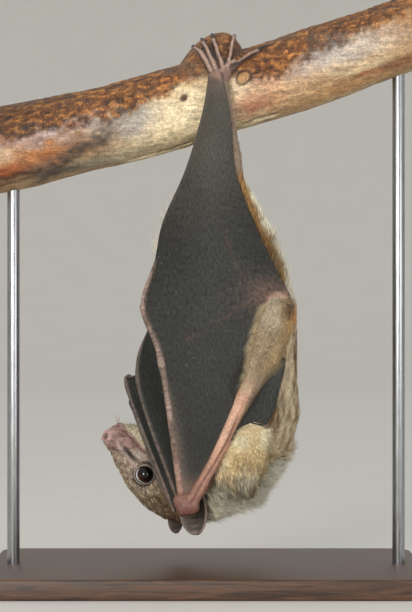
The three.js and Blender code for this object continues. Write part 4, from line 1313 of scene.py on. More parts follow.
def mark_arms(tint, points, part, grain):
    """Arms: brown and pale locks, a bare pink lower half, a rusty patch behind the elbow; painted shade in
    the crease between forearm and upper arm, in the forearm's groove and on its far strand.
    """
    x, _, z = points.T
    folded = folded_to(points, -1)
    _, middling, small = grain
    locks = noise(folded, (1.2, 1.2, 14), 35) + 0.4 * small
    rear = smoothstep(0.6, -1.2, x - np.interp(z, *UPPER_ARM_X))
    tint = washed(
        tint,
        ("64461f", 0.9 * part["upper_arm"] * rear * (0.8 + 0.4 * locks).clip(0, 1)),
        ("5f4528", 0.8 * part["upper_arm"] * smoothstep(0.0, 0.5, locks)))
    # Painted shade in the crease where the forearm's fur meets the upper arm.
    arm_crevice_shade = (bell(part["forearm"] - part["upper_arm"], 0.3)
            * smoothstep(0.3, 0.8, part["forearm"] + part["upper_arm"]))
    tint = washed(
        tint,
        ("3a2b1c", 0.75 * arm_crevice_shade * smoothstep(106, 102, z)),
        ("c4b89c", 0.5 * part["upper_arm"] * smoothstep(0.1, -0.5, locks)),
        ("f3e6c6", 0.85 * part["shoulder"] * smoothstep(55, 61, z)),
        ("bdb6a2", 0.95 * part["shoulder"] * smoothstep(49, 44, z + 2 * small)),
        ("c4a468", 0.45 * part["shoulder"] * smoothstep(0, 0.6, middling + 0.2)),
        ("b8ab93", 0.8 * part["forearm"] * smoothstep(98, 108, z + 3 * small)))
    gap, share = beside(points * (1, 0, 1), ARM_GROOVE, 80)
    past_groove = x - np.interp(z, *ARM_GROOVE_X)
    behind = part["forearm"] * smoothstep(0.3, 1.4, past_groove)
    tint = washed(tint, ("a28a60", 0.7 * behind * smoothstep(80, 86, z)))
    bare_arm = part["forearm"] * smoothstep(84, 74, z + 2 * middling)
    tint = washed(
        tint,
        ("bb8f76", bare_arm),
        ("d0a78c", 0.7 * bare_arm * smoothstep(80, 70, z) * smoothstep(48, 60, z)
                 * smoothstep(0.2, -0.6, past_groove)),
        ("98705f", part["forearm"] * smoothstep(56, 36, z)),
        # painted shade along the groove between the forearm's strands
        ("6b3f34", 0.75 * (part["forearm"] + part["hand"]) * bell(gap, 0.55) * smoothstep(70, 63, z)),
        # greyer fur colour right of the groove, partly painted shade
        ("86725a", 0.85 * part["forearm"] * smoothstep(0.4, 1.6, past_groove)
                 * smoothstep(58, 66, z) * smoothstep(88, 82, z)),
        # painted shade over the bare far strand beside the groove
        ("705b4b", 0.75 * bare_arm * smoothstep(1.2, 2.6, past_groove) * smoothstep(46, 54, z)),
        # painted shade in the valley at the top of that groove
        ("8a6a52", 0.45 * part["forearm"] * bell(gap, 1.4) * smoothstep(0.42, 0.3, share)
                 * smoothstep(0.05, 0.2, share)))
    rust = np.linalg.norm((folded - (32.6, -26, 109.6)) / (2.2, 8, 3.4), axis=1)
    tint = washed(
        tint,
        ("431f10", 0.9 * bell(rust, 1)),
        ("b9772c", 0.8 * bell(away_from(folded, (34.5, -24, 104)), 4)),
        ("7c5347", 0.9 * part["hand"]))
    return tint, bare_arm


def mark_feet(tint, points, part):
    """Feet: a painted highlight along each toe's ridge, painted shade between the toes."""
    nearest, on_toes = beside_toes(points)
    return washed(
        tint,
        ("927468", 0.85 * part["foot"]),
        # painted shade between the toes
        ("33241f", 0.85 * part["foot"] * on_toes * smoothstep(0.5, 1.1, nearest)),
        # painted highlight along each toe's ridge
        ("d2b3a0", 0.85 * part["foot"] * on_toes * bell(nearest, 0.5)))


def mark_head(tint, own, head, small):
    """Head: pale cheeks, a streaked face, a wrinkled bare muzzle and dark lips; painted shade in the fold
    from nose to cheek, beside the nose and in the nostrils.
    """
    half = folded_to(own, 1)
    tint = washed(
        tint,
        ("7a6242", 0.85 * head * smoothstep(-31, -21, own[:, 0]) * smoothstep(43.5, 38, own[:, 2])),
        ("9c7644", 0.5 * head * smoothstep(0.15, 0.6, small) * smoothstep(45, 38, own[:, 2])),
        ("b9a67c", 0.75 * head * smoothstep(50, 57, own[:, 2]) * smoothstep(-33, -27, own[:, 0])),
        ("c6a860", 0.6 * head * smoothstep(58, 61, own[:, 2]) * smoothstep(-30, -26, own[:, 0])))
    cheek = np.linalg.norm((half - (-27.6, 6.0, 53.2)) * (0.8, 1, 1), axis=1)
    tint = washed(
        tint,
        ("f0dfd6", 0.9 * head * bell(cheek, 3.2)),
        ("8f8074", 0.7 * head * bell(away_from(half, eye_centre(1)) - 5, 1.5)))
    crest = (smoothstep(2.6, 0.8, half[:, 1]) * smoothstep(-37.5, -34, own[:, 0])
             * smoothstep(56, 50, own[:, 2]))
    tint = washed(tint, ("bfa768", 0.7 * head * crest * smoothstep(30, 36, own[:, 2])))
    stripes = noise(own, (0.5, 0.9, 1.3), 55) + 0.6 * noise(own, (0.45, 0.5, 0.6), 56)
    face = head * smoothstep(-16, -24, own[:, 0]) * (1 - 0.7 * bell(cheek, 4))
    tint = washed(
        tint,
        ("54432f", 0.6 * face * smoothstep(0.05, 0.6, stripes)),
        ("e9dcbc", 0.55 * face * smoothstep(-0.1, -0.7, stripes)))
    wrinkled = muzzle_share(own) * head
    tint = washed(
        tint,
        ("97776f", wrinkled),
        ("6f5049", 0.6 * wrinkled * smoothstep(-0.1, 0.6, noise(own, (2.2, 1.4, 1.0), 51))),
        ("b39890", 0.5 * wrinkled * smoothstep(0.1, 0.6, noise(own, (3, 2, 1.2), 52))),
        # painted shade on the muzzle's lower side beside the nose
        ("5d4438", 0.55 * head * bell(away_from(half, (-38.6, 4.2, 54.2)), 2.2)),
        ("c3aaa2", 0.85 * head * bell(beside(half, NOSE_RIDGE)[0], 1.0)),
        ("f0e0c0", head * chin_share(own) * smoothstep(-24, -29, own[:, 0])),
        # painted shade in the fold from nose to cheek
        ("2b211a", 0.95 * head * bell(beside(half, LIP_FOLD)[0], 0.85)),
        ("8a5450", 0.85 * head * bell(beside(half, MOUTH)[0], 0.55)))
    hole = np.linalg.norm((half - NOSTRIL) * (0.4, 1, 1), axis=1)
    return washed(
        tint,
        ("c4a09c", 0.9 * head * bell(hole - 1.9, 0.55)),
        # painted shade in the nostril's hole
        ("2a1615", head * bell(hole, 1.15)))


def skin_tint(points, shares):
    """The bat's markings, with painted shade and highlights, which its skin and its coat share."""
    part = by_region(shares)
    grain = [noise(points, size, seed) for size, seed in ((11, 31), (4, 32), (1.7, 34))]
    _, middling, small = grain
    tint = sum(part[name][:, None] * linear(code) for name, code in PALETTE.items())
    tint = tint / np.maximum(shares.sum(1), 1e-6)[:, None]
    tint = mark_trunk(tint, points, part, grain)
    tint, bare_arm = mark_arms(tint, points, part, grain)
    tint = mark_feet(tint, points, part)
    head = part["head"]
    tint = mark_head(tint, straight_head(points), head, small)
    lively = 0.05 + 0.1 * head + 0.06 * (part["hand"] + bare_arm).clip(0, 1)
    return tint * (1 + lively * (middling + small))[:, None]


def muzzle_share(own):
    """1 on the bare muzzle and lips, 0 where the face is haired."""
    front = smoothstep(-27.5, -32, own[:, 0]) * smoothstep(52.5, 56, own[:, 2])
    folded = folded_to(own, 1)
    return np.clip(front + 0.8 * bell(beside(folded, MOUTH)[0], 2.2), 0, 1) * (1 - chin_share(own))


def chin_share(own):
    """1 on the haired chin, behind the line of the mouth."""
    line = sorted((p[0], p[2]) for p in MOUTH)
    past_mouth = own[:, 2] - np.interp(own[:, 0], *zip(*line))
    return smoothstep(1.0, 2.4, past_mouth) * smoothstep(-36, -34, own[:, 0])


def add_skin():
    bm = one_shell(list(REGION_OF))
    finer(bm, lambda points: head_part(points) | arm_part(points))
    finer(bm, face_part)
    finer(bm, toe_part)
    finer(bm, toe_part)
    bmesh.ops.triangulate(bm, faces=bm.faces)
    points = np.array([v.co for v in bm.verts]) / MM
    faces = np.array([[v.index for v in f.verts] for f in bm.faces])
    bm.free()
    edges = edges_of(faces)
    shares = region_shares(points, edges)
    ease = shares @ np.array(SOFTNESS)
    points = evened(points, edges, 70, np.clip(ease, 0, 1), 0.5, -0.52)
    depth = shares @ np.array([COAT[name][0] for name in REGIONS])
    own = straight_head(points)
    bare = shares[:, REGIONS.index("head")] * muzzle_share(own)
    forearm = shares[:, REGIONS.index("forearm")]
    bare = np.maximum(bare, forearm * smoothstep(86, 76, points[:, 2]))
    bare = np.maximum(bare, shares[:, REGIONS.index("hand")])
    depth = depth * (1 - bare)
    points = points - normals_of(points, faces) * depth[:, None]
    points = evened(points, edges, 6, None, 0.4)
    normals = normals_of(points, faces)
    smooth_points = points
    arm = forearm + shares[:, REGIONS.index("hand")]
    points = points + normals * (strands(points, normals) * np.clip(arm, 0, 1))[:, None]
    nearest, on_toes = beside_toes(smooth_points)
    ridged = 0.3 * bell(nearest, 0.55) - 0.75 * smoothstep(0.45, 1.25, nearest)
    on_toes = on_toes * smoothstep(0.2, 0.6, shares[:, REGIONS.index("foot")])
    points = points + normals * (ridged * on_toes)[:, None]
    points = sculpted(points, faces)
    shares = shares / np.maximum(shares.sum(1, keepdims=True), 1e-6)
    tint = skin_tint(smooth_points, shares)
    shells = [(points, faces)]
    # Painted shade: skin under the coat is darkened to three quarters of its tint; bare skin and the lids
    # keep it whole.
    thin = np.maximum(bare, lid_share(own))
    tints, bares = [tint * (0.75 + 0.25 * thin)[:, None]], [bare]
    for side, sign in SIDES:
        *ear, ear_tint = ear_shell(side, sign)
        shells.append(ear)
        tints.append(ear_tint)
        bares.append(np.full(len(ear_tint), 0.8))
        lids, lid_faces, lid_tint = eyelids(-sign)
        lids = turned_head(lids)
        shells.append((lids, facing_out(lids, lid_faces)))
        tints.append(lid_tint)
        bares.append(np.ones(len(lids)))
    verts, all_faces, _ = joined(shells)
    skin = new_piece("bat_skin", verts, all_faces, skin_finish(), np.vstack(tints),
                     {"bare": np.concatenate(bares)})
    placed(skin, "skin", *REGION_OF, "ear_right", "ear_left")
    return {"points": points, "faces": faces, "shares": shares, "tint": tint, "bare": bare}


# ---- eyes and claws ------------------------------------------------------------------------------
GAZE = (0.15, 0, 0.07)  # how far the pupil looks aside of the opening's middle


def add_eye(side, sign, finish):
    """An eyeball with a domed cornea: a wide black pupil, dark red-brown iris with a painted glint at its
    lower left, and white.
    """
    centre = eye_centre(-sign)
    gaze = unit(eye_axis(-sign) + GAZE)
    deselect_all()
    bpy.ops.mesh.primitive_uv_sphere_add(segments=64, ring_count=40, radius=1)
    eye = bpy.context.object
    eye.name = f"eyeball_{side}"
    eye.rotation_euler = Vector(gaze).to_track_quat("Z", "Y").to_euler()
    apply_place(eye)
    way = unit(places_in(eye.data))
    fall = np.arccos(np.clip(way @ gaze, -1, 1))
    radius = EYE["radius"] - 0.1 + 0.25 * bell(fall, 0.62)
    verts = turned_head(centre + way * radius[:, None])
    move_to(eye.data, verts)
    degrees = np.degrees(fall)
    # Painted glint: the iris is dark red-brown, painted a brighter red towards its lower left, where light
    # catches it.
    low = np.clip(way @ unit(np.array([-0.75, 0, -0.65])), 0, 1) ** 3
    tint = plain("050506", len(verts))
    tint = washed(
        tint,
        ("602712", smoothstep(*PUPIL_EDGE, degrees) * (0.1 + 1.1 * low).clip(0, 1)),
        ("120a08", smoothstep(*IRIS_EDGE, degrees)),
        ("c9c8cc", smoothstep(*WHITE_EDGE, degrees)))
    paint(eye.data, tint)
    eye.data.materials.append(finish)
    eye.data.update()
    eye.data.shade_smooth()
    placed(eye, "eye", f"eye_{side}")


def claw_shell(centres, radius, tip=0.12, across=(0, 1, 0)):
    shares = np.linspace(0, 1, 26)
    line = curve(centres, shares)
    return tube(line, radius * (1 - (1 - tip) * shares**1.3), 12, across, 0.7), shares


def horn_tint(shares):
    tint = mix(plain("3a332e", len(shares)), linear("7a6f60"), smoothstep(0.3, 1, shares))
    return np.vstack([np.repeat(tint[:1], 4, 0), tint, np.repeat(tint[-1:], 4, 0)])


def add_claw(name, centres, radius, sign, finish, node, across=(0, 1, 0)):
    (verts, faces), shares = claw_shell(mirrored(centres, sign), radius, 0.12, across)
    tint = np.repeat(horn_tint(shares), 12, axis=0)
    tint = np.vstack([tint, tint[:1], tint[-1:]])
    placed(new_piece(name, verts, faces, finish, tint), "claw", node)


def toe_claw_path(root, tip):
    """A claw leaves the tip of its toe, arches, and comes down to a point on the bark."""
    lean = (tip[0] - root[0]) / (tip[1] - root[1])
    rows = []
    for s in (0, 0.5, 1):
        radius = TOE["claw_radius"] * (1 - 0.72 * s)
        degrees = tip[1] + 2.6 + (TOE["claw"] + 2) * s
        lift = radius + 0.25 + 1.5 * (1 - s) * (0.4 + s)
        rows.append(on_perch(tip[0] + lean * TOE["claw"] * s * 0.6, math.radians(degrees), lift))
    return np.array(rows)


def add_claws(finish):
    for side, sign in SIDES:
        for k, (root, tip) in enumerate(TOES, 1):
            add_claw(f"claw_{side}_{k}", toe_claw_path(root, tip), TOE["claw_radius"], sign, finish,
                     f"toe_claw_{side}_{k}", (1, 0, 0))
        add_claw(f"claw_thumb_{side}", THUMB_CLAW, 0.95, sign, finish, f"thumb_claw_{side}")
        add_claw(f"claw_digit_2_{side}", DIGIT_2_CLAW, 0.6, sign, finish, f"digit_2_claw_{side}")


# ---- coat ----------------------------------------------------------------------------------------
# Each piece of the coat, the regions it covers, and how many tufts it has.
COAT_PIECES = {
    "coat_head": (["head"], 19000),
    "coat_neck": (["neck"], 19500),
    "coat_back_low": (["trunk"], 16500),
    "coat_back_high": (["trunk"], 14000),
    "coat_arm_right": (["shoulder", "upper_arm", "forearm"], 19500),
    "coat_arm_left": (["shoulder", "upper_arm", "forearm"], 19500),
    "coat_legs": (["thigh", "shank", "foot", "tail"], 10000),
}
WING_HAIRS = 7000  # fine hairs on each wing beside the forearm
BACK_SPLIT = 92  # height where the back's coat is parted in two pieces
TUFT_WIDTH = {"head": 0.22, "neck": 0.34, "trunk": 0.34, "tail": 0.2, "shoulder": 0.26,
              "upper_arm": 0.3, "forearm": 0.24, "hand": 0.15, "thigh": 0.34, "shank": 0.22,
              "foot": 0.16}
# The line that each region's skin is unrolled round, for the coat's own texture map.
REGION_LINE = {
    "head": [(-42, 0, 62), (6, 0, 34)], "neck": [(14, 0, 68), (-4, 2, 34)],
    "trunk": [(12, 0, 52), (8, 0, 160)], "tail": [(9, 0, 155), (6, 0, 174)],
    "shoulder": [(22, -17, 64), (10, -17, 40)], "upper_arm": [(27, -17, 52), (33, -25, 116)],
    "forearm": [(34, -26, 116), (-3, -23, 30)], "thigh": [(20, -8, 132), (11, -20, 163)],
    "shank": [(12, -20, 160), (6, -20, 200)], "foot": [(6, -20, 196), (6, -2, 222)],
}
TUFT_ROWS = ((0.0, 0.8), (0.5, 1.0), (1.0, 0.0))  # share of the length, share of the width
ROOT_SUNK = 0.35
PATCH = 0.003  # width of a tuft's patch on the texture map


def coat_lay(points, shares):
    """The way the hair lies at each point, before it is laid flat on the skin."""
    part = {name: shares[:, k:k + 1] for k, name in enumerate(REGIONS)}
    folded = folded_to(points, -1)
    side = np.where(points[:, 1:2] > 0, -1.0, 1.0)

    def run(path):
        share = beside(folded, path)[1]
        step = curve(path, np.minimum(share + 0.03, 1)) - curve(path, np.maximum(share - 0.03, 0))
        return unit(step) * np.hstack([np.ones_like(side), side, np.ones_like(side)])

    own = straight_head(points)
    back = turned_head(unit(own - (-47, 0, 66))) - turned_head(np.zeros((1, 3)))
    outward = unit(points * (1, 1, 0) - (8, 0, 0))
    lay = part["head"] * back
    lay = lay + part["neck"] * np.array([0.9, 0, -0.42])
    belly = smoothstep(-4, -11, points[:, :1])
    lay = lay + part["trunk"] * (np.array([0, 0, 1.0]) + (0.45 + 0.6 * belly) * outward)
    lay = lay + part["shoulder"] * np.array([0.3, 0, -1.0])
    lay = lay + part["upper_arm"] * run(UPPER_ARM)
    lay = lay + part["forearm"] * run(FOREARM) + part["hand"] * run(FOREARM)
    lay = lay + part["thigh"] * run(REGION_LINE["thigh"]) + part["tail"] * np.array([0, 0, 1.0])
    return lay + part["shank"] * np.array([0, 0, 1.0]) + part["foot"] * np.array([0, 0.3, 1.0])


def turned_about(vectors, axes, angles):
    """Vectors square to their axes, turned about them."""
    c, s = np.cos(angles)[:, None], np.sin(angles)[:, None]
    return vectors * c + np.cross(axes, vectors) * s


def unrolled(points, region):
    """Round and along a region: both from 0 to 1."""
    folded = folded_to(points, -1)
    middle = region in ("head", "neck", "trunk", "tail")
    used = straight_head(points) if region == "head" else points if middle else folded
    start, end = np.array(REGION_LINE[region], float)
    along = unit(end - start)
    side = unit(np.cross(along, (0.3, 1, 0.1)))
    away = used - start
    round_it = np.arctan2(away @ np.cross(along, side), away @ side) / (2 * np.pi) + 0.5
    reach = np.clip(away @ along / np.linalg.norm(end - start), 0, 1)
    if not middle:
        reach = (reach * 0.94 + (points[:, 1] > 0)) / 2
    return round_it, reach


def coat_fields(skin, wings):
    """By vertex of the skin: lay, length, lift, width, density, shagginess and headroom."""
    points, shares, bare = skin["points"], skin["shares"], skin["bare"]
    normals = normals_of(points, skin["faces"])
    own = straight_head(points)
    half = folded_to(own, 1)
    x, _, z = points.T
    part = by_region(shares)
    lay = coat_lay(points, shares)
    lay = lay - (lay * normals).sum(1, keepdims=True) * normals
    length = shares @ np.array([COAT[name][1] for name in REGIONS])
    lift = shares @ np.array([COAT[name][2] for name in REGIONS])
    width = shares @ np.array([TUFT_WIDTH[name] for name in REGIONS])
    front = smoothstep(-18, -31, own[:, 0])
    length *= 1 - part["head"] * 0.6 * front
    width *= 1 - part["head"] * 0.35 * front
    lift += 26 * part["head"] * bell(away_from(own, (-33, 0, 65)), 4.5)
    length *= 1 - part["forearm"] * 0.5 * smoothstep(100, 80, z)
    belly = part["trunk"] * smoothstep(-7, -13, x) * smoothstep(120, 134, z) * smoothstep(162, 150, z)
    lift += 22 * belly
    length += 2.4 * belly
    low = part["shoulder"] * smoothstep(50, 43, z)
    length += 3 * low
    lift += 9 * low
    spine = (part["trunk"] + part["thigh"]) * smoothstep(96, 110, z) * smoothstep(
        2, 4, x - np.interp(z, *LEG_EDGE_X))
    lift += 12 * spine
    length += 1.5 * spine
    nape = part["neck"] * smoothstep(4, 16, x) * smoothstep(64, 52, z)
    lift += 8 * nape
    density = (1 - bare) ** 2
    density *= 1 - 0.9 * part["hand"] - 0.6 * part["foot"]
    density *= 1 + 0.8 * nape + 0.5 * part["shoulder"] - 0.5 * belly
    density *= 1 - 0.95 * np.clip(bell(beside(half, LIP_FOLD)[0], 1.0) * part["head"], 0, 1)
    for sign in (-1, 1):
        _, reach, angle = about_eye(own, sign)
        density *= 1 - ((angle < 64) & (reach < 7))
    length *= 1 - 0.6 * lid_share(own)
    headroom = np.full(len(points), 50.0)
    for k, (point, normal) in enumerate(zip(points, normals)):
        for wing in wings:
            hit = wing["tree"].ray_cast(Vector(point + normal * 0.2), Vector(normal), 26)
            if hit[0] is not None:
                headroom[k] = min(headroom[k], hit[3])
    density *= np.where(headroom < 26, 0.3, 1) * np.where(headroom < 3, 1 - part["shoulder"], 1)
    return {"normal": normals, "lay": unit(lay), "length": length, "lift": lift, "width": width,
            "density": density, "headroom": headroom, "tint": skin["tint"], "point": points,
            "shaggy": np.clip(0.35 * part["trunk"] + 0.6 * part["neck"] + 0.5 * nape + belly
                              + 0.3 * part["head"] + 0.2 * part["thigh"] + 0.5 * low, 0.02, 1.3),
            "depth": (1 + 0.5 * part["head"] + 0.5 * part["neck"] + 0.2 * part["trunk"]
                      - 0.4 * part["shoulder"]) * (1 - 0.9 * lid_share(own)),
            "lively": 0.1 + 0.22 * part["head"] + 0.06 * part["upper_arm"],
            "contrast": 1 + 1.5 * part["head"] + 0.5 * part["upper_arm"] - 0.3 * part["shoulder"],
            "grain": grain_places(points, lay, shares)}


def grain_places(points, lay, shares):
    """Places drawn together along the main way that each region's hair lies, for streaky noise."""
    folded = folded_to(points, -1)
    way = lay * np.where(points[:, 1:2] > 0, (1, -1, 1), (1, 1, 1))
    main = unit(unit(shares.T @ way)[shares.argmax(1)])
    return folded - 0.82 * (folded * main).sum(1, keepdims=True) * main


def wing_hair_fields(wing):
    """The same by vertex of a wing, for the fine hairs on it beside the forearm."""
    points, sign = wing["verts"], wing["sign"]
    folded = mirrored(points, sign)
    normals = normals_of(points, wing["faces"])
    gap = past_arm_fur(folded)
    side = smoothstep(0.2, 0.7, -normals[:, 1] * sign)
    density = smoothstep(2.4, -1.5, gap) ** 1.5 * side
    density *= (wing["owner"] == 0) | (wing["owner"] == 3)
    step = np.array(FOREARM[1]) - FOREARM[3]
    count = len(points)
    tint = mix(plain("b8a582", count), linear("57524b"), smoothstep(-1.0, 2.2, gap))
    return {"normal": normals, "lay": np.tile(-unit(step * (1, sign, 1)), (count, 1)),
            "length": 2.8 - 1.2 * smoothstep(-1, 3, gap), "lift": np.full(count, 6.0),
            "width": np.full(count, 0.16), "density": density, "shaggy": np.full(count, 0.05),
            "lively": np.full(count, 0.1), "contrast": np.ones(count), "headroom": np.full(count, 50.0),
            "depth": np.full(count, 0.6), "tint": tint,
            "grain": folded * (1, 1, 0.3), "point": points}


def sown(fields, faces, chosen, count, chance):
    """Random places on the chosen faces, with every field there."""
    a, b, c = (fields["point"][faces[chosen, k]] for k in range(3))
    area = np.linalg.norm(np.cross(b - a, c - a), axis=1)
    weight = area * fields["density"][faces[chosen]].mean(1)
    total = np.cumsum(weight)
    face = faces[chosen][np.searchsorted(total, chance.random(count) * total[-1])]
    u, v = chance.random((2, count))
    flip = u + v > 1
    u, v = np.where(flip, 1 - u, u), np.where(flip, 1 - v, v)
    shares = np.stack([1 - u - v, u, v], 1)
    found = {}
    for name, values in fields.items():
        corner = values[face]
        found[name] = np.einsum("nk,nk...->n...", shares, corner)
    return found


def tuft_mesh(spots, chance):
    """Solid three-sided locks from the given places: vertices, faces, shades and patch offsets."""
    count = len(spots["point"])
    normal = unit(spots["normal"])
    lay = unit(spots["lay"] - (spots["lay"] * normal).sum(1, keepdims=True) * normal)
    shaggy = spots["shaggy"]
    swirl = 0.34 * noise(spots["point"], 5, 41) + 0.3 * noise(spots["point"], 1.6, 42)
    lay = turned_about(lay, normal, (0.25 + 0.75 * shaggy.clip(0, 1)) * (
        swirl + chance.normal(0, 0.14, count)))
    guard = chance.random(count) < 0.05 + 0.16 * shaggy
    length = spots["length"] * chance.uniform(0.65, 1.15, count)
    length *= np.where(guard, 1.2 + 0.45 * shaggy, 1)
    width = spots["width"] * chance.uniform(0.75, 1.2, count) * np.where(guard, 0.55, 1)
    lift = np.radians(spots["lift"]) * chance.uniform(0.5, 1.5, count) * np.where(guard, 1.3, 1)
    room = np.maximum(spots["headroom"] - 0.7, 0.05)
    lift = np.minimum(lift, np.arcsin(np.clip(room / length, 0.01, 1)))
    side = np.cross(normal, lay)
    sway = chance.uniform(-0.07, 0.07, count)

    def at(share):
        rise = np.sin(lift) * (share - 0.45 * share * share)
        ahead = lay * (np.cos(lift) * share)[:, None] + normal * rise[:, None]
        root = spots["point"] - normal * ROOT_SUNK * (1 - share)
        return root + length[:, None] * (ahead + side * (sway * share * share)[:, None])

    tip = at(1.0)
    pull = np.where(guard, 0.1, 0.08 + 0.5 * shaggy.clip(0, 1))[:, None] * (
        clump_tips(spots["point"], tip, 0.9 + 0.13 * spots["length"].mean()) - tip)
    centres = np.stack([at(share) + pull * share**2 for share, _ in TUFT_ROWS], axis=1)
    return locks(centres, width, side, normal)


def locks(centres, width, side, normal):
    """Thin solid locks along rows of centres that end in a point."""
    count = len(centres)
    rings = []
    for row, (_, wide) in enumerate(TUFT_ROWS[:-1]):
        for k in range(3):
            turn = 2 * math.pi * k / 3 + math.pi / 2
            rings.append(centres[:, row] + (width * wide / 2)[:, None] * (
                side * math.cos(turn) + 0.6 * normal * math.sin(turn)))
    rings.append(centres[:, -1])
    verts = np.stack(rings, axis=1).reshape(-1, 3)
    faces = [(0, 2, 1)]
    for k in range(3):
        n = (k + 1) % 3
        faces += [(k, n, 3 + n), (k, 3 + n, 3 + k), (3 + k, 3 + n, 6)]
    every = (np.arange(count) * 7)[:, None, None] + np.array(faces)
    # Each lock is darker at its root and paler at its tip: the hair's own tone, with painted shade down
    # among the roots.
    shade = np.array([0.65, 0.65, 0.65, 1.15, 1.15, 1.15, 1.45])
    across = np.array([0, -0.5, 0.5, 0, -0.5, 0.5, 0])
    along = np.array([-0.5, -0.5, -0.5, 0, 0, 0, 0.5])
    return verts, every.reshape(-1, 3), shade, np.stack([across, along], 1) * PATCH


# Bristles of the face, as root and way in the head's own frame, spread, length and number a side.
BRISTLES = [
    ((-36.2, 1.5, 64.6), (-0.25, 0.1, 1.0), 1.6, 6.0, 5),
    ((-31, 3.5, 62.5), (0.1, 0.35, 1.0), 3.2, 3.6, 14),
    ((-38.5, 4.5, 57), (-0.9, 0.7, -0.1), 1.6, 4.5, 4),
    ((-35, 5.5, 57.5), (-0.3, 1.0, 0.5), 2.2, 5.0, 7),
    ((-27, 9.0, 39.2), (-0.5, 0.8, -0.5), 1.4, 3.6, 4), ((-33, 3, 61.5), (-0.5, 0.8, 0.5), 2.2, 3.2, 8),
]


def bristle_spots(skin, chance):
    """Long thin hairs on the lips, chin and brow: centres, widths, sides, normals and tints."""
    own = straight_head(skin["points"])
    normals = normals_of(skin["points"], skin["faces"])
    roots, ways, lengths = [], [], []
    for place, way, spread, long, number in BRISTLES:
        for sign in (-1, 1):
            for _ in range(number):
                wanted = np.array(place) * (1, sign, 1) + chance.normal(0, spread / 2, 3)
                roots.append(away_from(own, wanted).argmin())
                ways.append(unit(np.array(way) * (1, sign, 1) + chance.normal(0, 0.16, 3)))
                lengths.append(long * chance.uniform(0.6, 1.15))
    root = skin["points"][roots]
    way = turned_head(np.array(ways)) - turned_head(np.zeros((1, 3)))
    droop = np.cross(way, chance.normal(0, 1, way.shape)) * 0.12
    lengths = np.array(lengths)[:, None]
    centres = np.stack([root + (way * share + droop * share * share) * lengths
                        for share, _ in TUFT_ROWS], axis=1)
    side = unit(np.cross(way, normals[roots] + 1e-3))
    return (centres, np.full(len(root), 0.13), side, np.cross(side, way)), root


def clump_tips(roots, tips, spacing):
    """For each tuft, the tip of the one that leads the clump it is in."""
    cell = np.floor(roots / spacing + 0.35 * np.stack(
        [noise(roots, 3, 43 + k) for k in range(3)], 1)).astype(np.int64)
    key = cell @ np.array([73856093, 19349663, 83492791])
    _, leader, member = np.unique(key, return_index=True, return_inverse=True)
    return tips[leader][member.ravel()]


def patch_map(round_it, reach, patch=0, patches=1):
    """Places on a coat's map: the patches lie side by side, with a margin round each."""
    return np.stack([(patch + 0.03 + 0.94 * round_it) / patches, 0.02 + 0.95 * reach], 1)


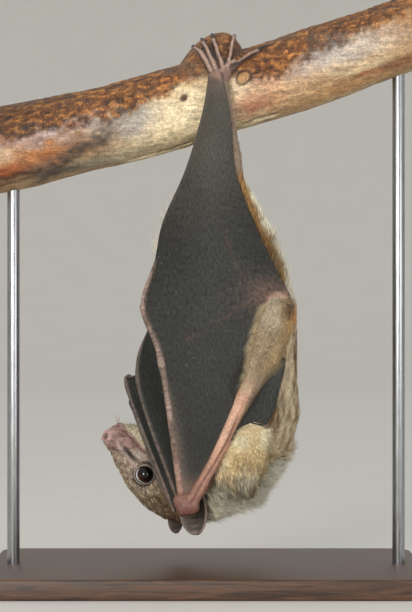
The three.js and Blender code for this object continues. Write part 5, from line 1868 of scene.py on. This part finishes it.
def add_coat(skin, wings):
    chance = np.random.default_rng(COAT_SEED)
    finish = coat_finish()
    faces = skin["faces"]
    fields = coat_fields(skin, wings)
    fields["region"] = skin["shares"]
    region = skin["shares"][faces].mean(1).argmax(1)
    middle = skin["points"][faces].mean(1)
    for name, (parts, count) in COAT_PIECES.items():
        chosen = np.isin(region, [REGIONS.index(part) for part in parts])
        if name.endswith("low"):
            chosen &= middle[:, 2] < BACK_SPLIT
        elif name.endswith("high"):
            chosen &= middle[:, 2] >= BACK_SPLIT
        elif name.endswith("right"):
            chosen &= middle[:, 1] < 0
        elif name.endswith("left"):
            chosen &= middle[:, 1] >= 0
        spots = sown(fields, faces, np.nonzero(chosen)[0], count // FEWER, chance)
        belongs = spots["region"][:, [REGIONS.index(part) for part in parts]].argmax(1)
        uv = np.zeros((len(belongs), 2))
        for k, part in enumerate(parts):
            here = belongs == k
            uv[here] = patch_map(*unrolled(spots["point"], part), k, len(parts))[here]
        coat = [coat_part(tuft_mesh(spots, chance), spots, uv, chance)]
        if name == "coat_head":
            bristles, root = bristle_spots(skin, chance)
            round_it, reach = unrolled(root, "head")
            pale = {"tint": plain("c9c0ae", len(root)), "grain": root,
                    "lively": np.full(len(root), 0.1), "contrast": np.ones(len(root)),
                    "depth": np.full(len(root), 0.6)}
            coat.append(coat_part(locks(*bristles), pale, np.stack([round_it, reach], 1), chance))
        add_coat_piece(name, coat, finish)
    for side, wing in zip(("right", "left"), wings):
        hairs = wing_hair_fields(wing)
        every = np.arange(len(wing["faces"]))
        spots = sown(hairs, wing["faces"], every, WING_HAIRS // FEWER, chance)
        uv = patch_map(*unrolled(spots["point"], "forearm"))
        coat = coat_part(tuft_mesh(spots, chance), spots, uv, chance)
        add_coat_piece(f"coat_wing_{side}", [coat], finish)


def coat_part(made, spots, uv, chance):
    """Vertices, faces, colours and texture places of locks, each lock a little darker or paler."""
    verts, faces, shade, patch = made
    count = len(spots["tint"])
    streaks = 0.17 * noise(spots["grain"], 0.8, 45) + 0.12 * noise(spots["grain"], 2.4, 46)
    lively = 1 + chance.normal(0, 1, count) * spots["lively"] + streaks * spots["contrast"]
    lively = lively.clip(0.45, 1.7)
    shades = 1 + (shade - 1) * spots["depth"][:, None]
    colour = (spots["tint"] * lively[:, None])[:, None] * shades[:, :, None]
    return verts, faces, colour.reshape(-1, 3), (uv[:, None] + patch).reshape(-1, 2)


def add_coat_piece(name, parts, finish):
    verts, faces, _ = joined([part[:2] for part in parts])
    piece = new_piece(name, verts, faces, finish, np.vstack([part[2] for part in parts]), None,
                      {"OFBake": np.vstack([part[3] for part in parts])})
    placed(piece, "face" if name == "coat_head" else "fur")


# ---- the whole -----------------------------------------------------------------------------------
deselect_all()
add_camera()
add_stage()
add_light("key_light", (-0.4, -1.2, 0.32), (0, 0, 0.11), 0.45, 9.5, (1, 0.98, 0.95))
add_light("fill_light", (0.8, -0.95, 0.14), (0, 0, 0.1), 0.7, 4.5, (0.95, 0.97, 1))
add_base()
for side, sign in (("left", -1), ("right", 1)):
    add_rod(side, sign, rod_finish())
add_branch()
wing_skin = wing_finish()
wings = [add_wing(side, sign, wing_skin) for side, sign in SIDES]
skin = add_skin()
add_coat(skin, wings)
eye_look = eye_finish()
for side, sign in SIDES:
    add_eye(side, sign, eye_look)
add_claws(claw_finish())
